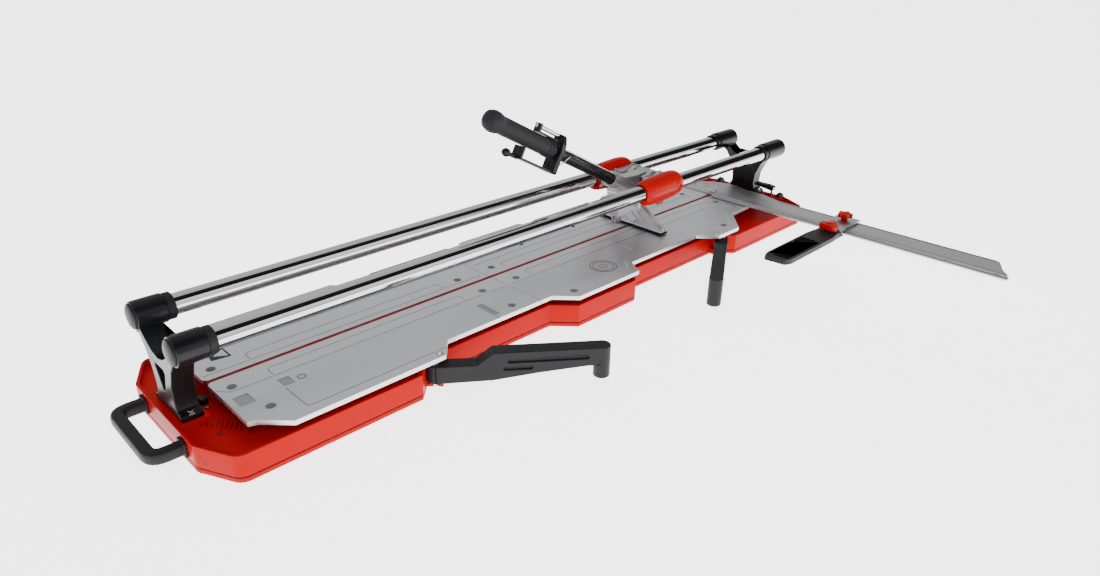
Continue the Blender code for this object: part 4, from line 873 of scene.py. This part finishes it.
class TILECUTTER_OT_rails(TileCutterStep, Operator):
    """Chrome guide rails in their black supports"""

    bl_idname = "tile_cutter.rails"
    bl_label = "Rails and Supports"

    def execute(self, context):
        dress(["rail_front", "rail_rear"], "chrome")
        for node in ("rail_collar_front", "rail_collar_rear", "end_cap_front", "end_cap_rear"):
            soften(node, "plastic", settings().fine_edge)
        for node in ("support_left", "support_right"):
            soften(node, "casting", 2.2 * MM)
        self.foot_bolts()
        return {"FINISHED"}

    def foot_bolts(self):
        """Two bolts through the foot of each support."""
        from_middle, foot_top, head_height = 892 * MM, 67 * MM, 6 * MM
        bm = bmesh.new()
        for node in ("support_left", "support_right"):
            x = math.copysign(from_middle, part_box(node)[0].x)
            for y in (-48 * MM, 48 * MM):
                add_hex_bolt(bm, (x, y), foot_top, settings().bolt_head, head_height)
        piece("support_bolts", bm, "plain_metal", "frame", 0.5 * MM, 2)


class TILECUTTER_OT_handle(TileCutterStep, Operator):
    """Carrying handle and transport wheels"""

    bl_idname = "tile_cutter.handle"
    bl_label = "Handle and Wheels"

    def execute(self, context):
        soften("carry_handle", "plastic", 1.2 * MM)
        for where in ("front", "rear"):
            soften(f"wheel_{where}", "rubber", 0.8 * MM)
            dress([f"wheel_axle_{where}"], "plain_metal")
        return {"FINISHED"}


class TILECUTTER_OT_side_arms(TileCutterStep, Operator):
    """Fold-out side arms with their pins"""

    bl_idname = "tile_cutter.side_arms"
    bl_label = "Side Arms"

    def execute(self, context):
        for where in ("front_left", "front_right", "rear_left", "rear_right"):
            soften(f"side_arm_{where}", "plastic", 2.0 * MM)
            dress([f"arm_pin_{where}"], "plain_metal")
        return {"FINISHED"}


class TILECUTTER_OT_fence(TileCutterStep, Operator):
    """Protractor, ruler, sliding stop, stop arm, knobs and lock"""

    bl_idname = "tile_cutter.fence"
    bl_label = "Fence"

    def execute(self, context):
        soften("fence_base", "aluminium", 0.8 * MM)
        soften("fence_bolt", "plain_metal", 0.6 * MM)
        soften("ruler", "aluminium", 0.6 * MM, 2)
        soften("sliding_stop", "aluminium", 0.8 * MM)
        soften("stop_arm", "plastic", 1.0 * MM)
        soften("arm_knob", "red_plastic", 2.5 * MM)
        soften("slider_knob", "red_plastic", 2.0 * MM)
        dress(["lock_bolt"], "chrome")
        soften("lock_lever", "casting", 1.2 * MM)
        self.ruler_marks()
        self.protractor()
        self.knob_tops()
        self.stop_rivets()
        return {"FINISHED"}

    def ruler_marks(self):
        """Dark strips of painted shade in the ruler's grooves, raised edges, scale marks and small screws of
        the ruler.
        """
        low = RULER_TOP - 0.3 * MM
        bm = bmesh.new()
        # The dark strips stand in for shade in the grooves: painted shade.
        for x, near, far, width in ((699, -832, -20, 1.6), (706, -834, -20, 1.0), (772, -790, -190, 1.4)):
            add_prism(bm, ribbon(in_metres(((x, near), (x, far))), width * MM), low, RULER_TOP + 0.15 * MM)
        piece("ruler_groove_shade", bm, "mark", "ruler")
        bm = bmesh.new()
        for x, near, far, width in ((697, -834, -18, 2.2), (775.5, -788, -190, 3.0)):
            add_prism(bm, ribbon(in_metres(((x, near), (x, far))), width * MM), low, RULER_TOP + 1.2 * MM)
        piece("ruler_edges", bm, "aluminium", "ruler", 0.5 * MM, 2)
        bm = bmesh.new()
        scale_length, scale_x, scale_y = 780 * MM, 707 * MM, -30 * MM
        pitch, width = settings().mark_pitch, settings().mark_width
        for k in range(int(scale_length / pitch)):
            y = scale_y - k * pitch
            reach = (13 if k % 10 == 0 else 9 if k % 5 == 0 else 5) * MM
            add_prism(bm, ribbon([(scale_x, y), (scale_x + reach, y)], width),
                      RULER_TOP - 0.1 * MM, RULER_TOP + 0.12 * MM)
        piece("ruler_scale", bm, "mark", "ruler")
        bm = bmesh.new()
        for y in (-250, -520, -700, -815):
            add_socket_screw(bm, (690 * MM, y * MM), 84.8 * MM, 3.6 * MM, 5.5 * MM)
        piece("ruler_screws", bm, "plain_metal", "ruler")

    def protractor(self):
        """Arc scale, dark arc line and screws of the protractor plate."""
        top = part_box("fence_base")[1].z

        def at(degrees, radius):
            a = math.radians(degrees)
            return tuple(PROTRACTOR_CENTRE + Vector((math.cos(a), math.sin(a))) * radius * MM)

        bm = bmesh.new()
        for k in range(-11, 12):
            inner = 96 if k % 3 == 0 else 101
            add_prism(bm, ribbon([at(k * 5, inner), at(k * 5, 108)], 1.0 * MM),
                      top - 0.2 * MM, top + 0.15 * MM)
        piece("protractor_scale", bm, "mark", "frame")
        bm = bmesh.new()
        arc = [at(degrees, 91) for degrees in range(-62, 63, 4)]
        add_prism(bm, ribbon(arc, 1.6 * MM), top - 0.2 * MM, top + 0.12 * MM)
        piece("protractor_arc", bm, "table_line_and_groove_shade", "frame")
        bm = bmesh.new()
        for degrees, radius in ((50, 70), (70, 92), (20, 62)):
            add_socket_screw(bm, at(degrees, radius), top, 4 * MM, 2.2 * MM)
        piece("protractor_screws", bm, "plain_metal", "frame")

    def knob_tops(self):
        """Domed middles on both red knobs."""
        for node, centre, r in (("arm_knob", ARM_KNOB_CENTRE, 12 * MM),
                                ("slider_knob", SLIDER_KNOB_CENTRE, 9 * MM)):
            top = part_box(node)[1].z
            bm = bmesh.new()
            add_turned(bm, [(0, top - 1 * MM), (r, top - 1 * MM), (r * 0.96, top + 0.6 * MM),
                            (r * 0.8, top + 1.6 * MM), (r * 0.45, top + 2.2 * MM), (0, top + 2.4 * MM)],
                       "Z", centre, 40)
            piece(f"{node}_dome", bm, "red_plastic", node)

    def stop_rivets(self):
        """Two rivets on top of the sliding stop."""
        seat = RULER_TOP + 8 * MM
        bm = bmesh.new()
        for x in (700, 724):
            add_turned(bm, [(0, seat - 0.2 * MM), (4.2 * MM, seat - 0.2 * MM), (4.2 * MM, seat + 1.6 * MM),
                            (3.2 * MM, seat + 2.2 * MM), (0, seat + 2.3 * MM)], "Z", (x * MM, -380 * MM), 24)
        piece("slider_rivets", bm, "plain_metal", "sliding_stop")


class TILECUTTER_OT_carriage(TileCutterStep, Operator):
    """Cast carriage body with its red caps"""

    bl_idname = "tile_cutter.carriage"
    bl_label = "Carriage"

    def execute(self, context):
        soften("carriage_body", "cast_metal", 1.5 * MM)
        for where, side in (("front", -1), ("rear", 1)):
            self.cap(where, side)
            self.cap_screw(where, side)
            dress([f"slide_bush_{where}"], "plain_metal")
        dress(["lever_pin"], "plain_metal")
        self.beam_ribs()
        return {"FINISHED"}

    def cap(self, where, side):
        """Bean-shaped shell around a rail, with a tab below."""
        low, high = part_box(f"carriage_cap_{where}")
        middle, half = (low.x + high.x) / 2, (high.x - low.x) / 2
        steps, around = 28, 40
        mouth, bore = 23.5 * MM, 20.9 * MM
        centre_y = side * RAIL_Y
        side_room = (high.y - centre_y if side > 0 else centre_y - low.y) - mouth
        bm = bmesh.new()
        rings = []
        for k in range(steps + 1):
            s = -1 + 2 * k / steps
            swell = (1 - abs(s) ** 3.0) ** 0.5
            lean = 0.5 + 0.5 * math.sin(math.pi * (s - 0.1) / 2)
            top = (high.z - RAIL_Z - mouth) * swell * (0.72 + 0.28 * lean)
            bottom = (RAIL_Z - low.z - mouth) * swell * (0.80 - 0.25 * lean)
            width = side_room * swell
            ring = []
            for j in range(around):
                a = 2 * math.pi * j / around
                reach_z = mouth + (top if math.sin(a) > 0 else bottom)
                reach_y = mouth + width * (1.0 if side * math.cos(a) > 0 else 0.35)
                crease = 1.0 - 0.045 * swell * max(0.0, math.sin(2 * a + 0.9)) ** 2
                ring.append(bm.verts.new((middle + s * half, centre_y + reach_y * math.cos(a) * crease,
                                          RAIL_Z + reach_z * math.sin(a) * crease)))
            rings.append(ring)
        for x in (middle + half, middle - half):
            rings.append([bm.verts.new((x, y, z)) for y, z in circle(centre_y, RAIL_Z, bore, around)])
        for a, b in zip(rings, rings[1:] + rings[:1]):
            for j in range(around):
                i = (j + 1) % around
                bm.faces.new((a[j], a[i], b[i], b[j]))
        bmesh.ops.recalc_face_normals(bm, faces=bm.faces)
        made = piece(f"cap_{where}", bm, "red_plastic", "carriage", 1.2 * MM, 3)
        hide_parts(f"carriage_cap_{where}")
        bm = bmesh.new()
        outline = [(middle - 20 * MM, low.z + 20 * MM), (middle - 13 * MM, low.z + 0.5 * MM),
                   (middle + 9 * MM, low.z + 0.5 * MM), (middle + 20 * MM, low.z + 20 * MM)]
        add_prism(bm, rounded(outline, 4 * MM), centre_y - 11 * MM, centre_y + 11 * MM, "Y")
        piece(f"cap_tab_{where}", bm, "red_plastic", "carriage", 3 * MM, 3)

    def cap_screw(self, where, side):
        """Screw in a round seat on the outer side of a cap."""
        low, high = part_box(f"carriage_cap_{where}")
        centre = (high.x - 30 * MM, RAIL_Z + 3 * MM)
        face = high.y if side > 0 else low.y

        def turn(name, material, slot, profile, steps):
            bm = bmesh.new()
            add_turned(bm, [(r * MM, face - side * depth * MM) for r, depth in profile], "Y", centre, steps)
            piece(f"{name}_{where}", bm, material, "carriage")

        turn("cap_seat", "red_plastic", "red_plastic",
             ((6.5, 8), (12, 8), (11, 1.2), (9.5, 0.3), (7.5, 0.6), (6.5, 5)), 32)
        turn("cap_bolt", "casting", "steel",
             ((0, 8), (6.4, 8), (6.4, 4.2), (5.6, 3.6), (3.2, 3.6), (3.0, 6), (0, 6)), 24)

    def beam_ribs(self):
        """Raised edges and cross ribs on top of the cast beam."""
        beam_top = 226 * MM
        bm = bmesh.new()
        for side in (-1, 1):
            for x in (318, 391):
                points = in_metres(((x, side * 30), (x, side * 62)))
                add_prism(bm, ribbon(points, 5 * MM), beam_top - 0.5 * MM, beam_top + 3 * MM)
            points = in_metres(((322, side * 32), (388, side * 60)))
            add_prism(bm, ribbon(points, 4 * MM), beam_top - 0.5 * MM, beam_top + 2.6 * MM)
        piece("beam_ribs", bm, "cast_metal", "carriage", 1.2 * MM, 2)


class TILECUTTER_OT_lever(TileCutterStep, Operator):
    """Lever with its root casting, tube, grip, bracket and wire clip"""

    bl_idname = "tile_cutter.lever"
    bl_label = "Lever"

    def execute(self, context):
        soften("lever_root", "cast_metal", 1.8 * MM)
        dress(["lever_tube"], "casting")
        dress(["lever_grip"], "rubber")
        soften("lever_bracket", "casting", 1.0 * MM)
        dress(["bracket_pin", "wire_clip"], "chrome")
        dress(["foot_pin"], "plain_metal")
        self.tube_details()
        return {"FINISHED"}

    def tube_details(self):
        """Bright wire along the tube, rings on the grip and a ferrule at the tube's foot."""
        place = Matrix.Translation(LEVER_ROOT) @ Matrix.Rotation(LEVER_ANGLE, 4, "Y")

        def turn(name, material, slot, profiles, centre, steps):
            bm = bmesh.new()
            for profile in profiles:
                add_turned(bm, in_metres(profile), "X", centre, steps)
            piece(name, bm, material, "lever", matrix=place)

        turn("tube_wire", "chrome", "chrome", [((0, -296), (2.1, -295), (2.1, -34), (0, -33))],
             (-11.2 * MM, 13.2 * MM), 16)
        turn("grip_rings", "rubber", "black_rubber",
             [((20.6, x), (22.4, x - 1), (22.4, x - 4), (20.6, x - 5)) for x in (-312, -322, -506)],
             (0, 0), 48)
        turn("tube_ferrule", "cast_metal", "cast_aluminium",
             [((15.2, -24), (19, -24), (19, -34), (17.5, -37), (15.2, -37))], (0, 0), 48)


class TILECUTTER_OT_breaker(TileCutterStep, Operator):
    """Scoring wheel in its holder and the breaker foot"""

    bl_idname = "tile_cutter.breaker"
    bl_label = "Wheel and Breaker"

    def execute(self, context):
        soften("wheel_holder", "plain_metal", 0.6 * MM)
        dress(["scoring_wheel"], "plain_metal")
        soften("breaker_foot", "cast_bright", 1.5 * MM)
        soften("breaker_pad", "rubber", 0.6 * MM)
        self.foot_ribs()
        return {"FINISHED"}

    def foot_ribs(self):
        """Ribs and end bosses on both faces of the fan-shaped breaker foot."""
        low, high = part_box("breaker_foot")
        middle = (low.x + high.x) / 2
        half_body, rib_height = 9 * MM, 2.6 * MM
        lines = [((-104, 92.5), (104, 92.5))]
        for flip in (-1, 1):
            lines += [((flip * 103, 95), (flip * 28, 136), (flip * 25, 154)),
                      ((flip * 70, 94), (flip * 20, 128)), ((flip * 36, 94), (flip * 2, 122)),
                      ((flip * 8, 94), (flip * 34, 118))]
        bm = bmesh.new()
        for side in (-1, 1):
            near, far = sorted((middle + side * half_body, middle + side * (half_body + rib_height)))
            for k, line in enumerate(lines):
                width = 5 * MM if k == 0 else 4.2 * MM
                add_prism(bm, ribbon(in_metres(line), width), near, far, "X")
        piece("breaker_ribs", bm, "cast_bright", "breaker", 1.1 * MM, 2)
        bm = bmesh.new()
        for y in (-101, 101):
            add_turned(bm, in_metres(((0, 92), (8, 92), (7.5, 99), (5, 102), (0, 102.5))),
                       "Z", (middle, y * MM), 24)
        piece("breaker_bosses", bm, "plain_metal", "breaker")


class TILECUTTER_OT_stage(TileCutterStep, Operator):
    """Pale floor, soft lights and the camera"""

    bl_idname = "tile_cutter.stage"
    bl_label = "Stage"

    def execute(self, context):
        self.floor()
        self.lights()
        self.camera()
        return {"FINISHED"}

    def floor(self):
        mesh = bpy.data.meshes.new("floor")
        bm = bmesh.new()
        half = FLOOR_HALF
        corners = ((-half, -half), (half, -half), (half, half), (-half, half))
        bm.faces.new([bm.verts.new((x, y, 0)) for x, y in corners])
        bm.to_mesh(mesh)
        bm.free()
        material, shader = start_material("Pale Floor", (0.88, 0.88, 0.88), 0.0, 0.1)
        shader.inputs["Roughness"].default_value = 0.9
        shader.inputs["Emission Color"].default_value = (1.0, 1.0, 1.0, 1.0)
        shader.inputs["Emission Strength"].default_value = FLOOR_GLOW
        mesh.materials.append(material)
        floor = bpy.data.objects.new("floor", mesh)
        bpy.context.scene.collection.objects.link(floor)

    def dome(self, tree):
        """A bright room with one dark band overhead, a little to the front."""
        new = tree.nodes.new
        place = new("ShaderNodeTexCoord")
        split = new("ShaderNodeSeparateXYZ")
        ahead = new("ShaderNodeMath")
        ahead.operation = "MULTIPLY"
        ahead.inputs[1].default_value = -1.0
        turn = new("ShaderNodeMath")
        turn.operation = "ARCTAN2"
        ramp = new("ShaderNodeValToRGB")
        share = new("ShaderNodeMath")
        share.operation = "DIVIDE"
        share.inputs[1].default_value = math.pi
        spread = new("ShaderNodeMapRange")
        for label, value in (("From Min", 0.4), ("From Max", 0.9), ("To Min", 1.0), ("To Max", 0.5)):
            spread.inputs[label].default_value = value
        offset = new("ShaderNodeMath")
        offset.operation = "SUBTRACT"
        offset.inputs[1].default_value = DARK_BAND
        squeeze = new("ShaderNodeMath")
        squeeze.operation = "MULTIPLY_ADD"
        squeeze.inputs[2].default_value = DARK_BAND
        tree.links.new(place.outputs["Generated"], split.inputs[0])
        tree.links.new(split.outputs["Y"], ahead.inputs[0])
        tree.links.new(split.outputs["Z"], turn.inputs[0])
        tree.links.new(ahead.outputs[0], turn.inputs[1])
        tree.links.new(turn.outputs[0], share.inputs[0])
        tree.links.new(split.outputs["X"], spread.inputs["Value"])
        tree.links.new(share.outputs[0], offset.inputs[0])
        tree.links.new(offset.outputs[0], squeeze.inputs[0])
        tree.links.new(spread.outputs["Result"], squeeze.inputs[1])
        tree.links.new(squeeze.outputs[0], ramp.inputs["Fac"])
        stops = ((0.0, 0.5), (0.05, 0.9), (0.19, 1.1), (0.215, 0.012), (0.45, 0.012), (0.49, 0.5), (0.8, 0.6),
                 (1.0, 0.5))
        while len(ramp.color_ramp.elements) < len(stops):
            ramp.color_ramp.elements.new(0.5)
        for element, (position, level) in zip(ramp.color_ramp.elements, stops):
            element.position = position
            element.color = (level, level, level, 1.0)
        background = tree.nodes["Background"]
        background.inputs["Strength"].default_value = DOME_STRENGTH
        tree.links.new(ramp.outputs["Color"], background.inputs["Color"])

    def lights(self):
        world = bpy.data.worlds.new("Studio")
        world.use_nodes = True
        self.dome(world.node_tree)
        bpy.context.scene.world = world
        for name, place, size, energy in (
                ("key", (-1.6, -2.2, 2.6), 1.6, 45.0),
                ("top", (0.2, 0.6, 3.0), 2.2, 30.0),
                ("fill", (2.6, -1.2, 1.6), 1.4, 8.0)):
            data = bpy.data.lights.new(name, "AREA")
            data.size = size
            data.energy = energy
            lamp = bpy.data.objects.new(name, data)
            lamp.location = place
            lamp.visible_glossy = False
            lamp.rotation_euler = (Vector((0, 0, 0.1)) - Vector(place)).to_track_quat("-Z", "Y").to_euler()
            bpy.context.scene.collection.objects.link(lamp)

    def camera(self):
        yaw, pitch, roll = CAMERA_YAW, CAMERA_PITCH, CAMERA_ROLL
        ahead = Vector((math.cos(yaw) * math.cos(pitch), math.sin(yaw) * math.cos(pitch), -math.sin(pitch)))
        right = Vector((math.sin(yaw), -math.cos(yaw), 0.0))
        above = right.cross(ahead)
        right_turned = right * math.cos(roll) + above * math.sin(roll)
        above_turned = above * math.cos(roll) - right * math.sin(roll)
        data = bpy.data.cameras.new("camera")
        data.sensor_width = 36.0
        data.lens = CAMERA_LENS
        data.clip_start = 0.05
        data.clip_end = 100.0
        view = bpy.data.objects.new("camera", data)
        turn = Matrix((right_turned, above_turned, -ahead)).transposed()
        view.matrix_world = Matrix.Translation(CAMERA_PLACE) @ turn.to_4x4()
        bpy.context.scene.collection.objects.link(view)
        bpy.context.scene.camera = view


STEPS = (
    TILECUTTER_OT_base,
    TILECUTTER_OT_tables,
    TILECUTTER_OT_rails,
    TILECUTTER_OT_handle,
    TILECUTTER_OT_side_arms,
    TILECUTTER_OT_fence,
    TILECUTTER_OT_carriage,
    TILECUTTER_OT_lever,
    TILECUTTER_OT_breaker,
    TILECUTTER_OT_stage,
)


class TILECUTTER_PT_panel(Panel):
    """Lists the settings and the steps"""

    bl_idname = "TILECUTTER_PT_panel"
    bl_label = "Tile Cutter"
    bl_space_type = "VIEW_3D"
    bl_region_type = "UI"
    bl_category = "Tile Cutter"

    def draw(self, context):
        layout = self.layout
        for group in (context.scene.tile_cutter_sizes, context.scene.tile_cutter_colours):
            column = layout.column(align=True)
            for name in group.bl_rna.properties.keys():
                if name not in ("rna_type", "name"):
                    column.prop(group, name)
        for step in STEPS:
            layout.operator(step.bl_idname)


CLASSES = (TileCutterColours, TileCutterSizes, *STEPS, TILECUTTER_PT_panel)


def register():
    for cls in CLASSES:
        bpy.utils.register_class(cls)
    bpy.types.Scene.tile_cutter_sizes = PointerProperty(type=TileCutterSizes)
    bpy.types.Scene.tile_cutter_colours = PointerProperty(type=TileCutterColours)


def unregister():
    del bpy.types.Scene.tile_cutter_colours
    del bpy.types.Scene.tile_cutter_sizes
    for cls in reversed(CLASSES):
        bpy.utils.unregister_class(cls)


def main():
    register()
    build_finishes()
    for step in STEPS:
        family, action = step.bl_idname.split(".")
        getattr(getattr(bpy.ops, family), action)()


if __name__ == "__main__":
    main()
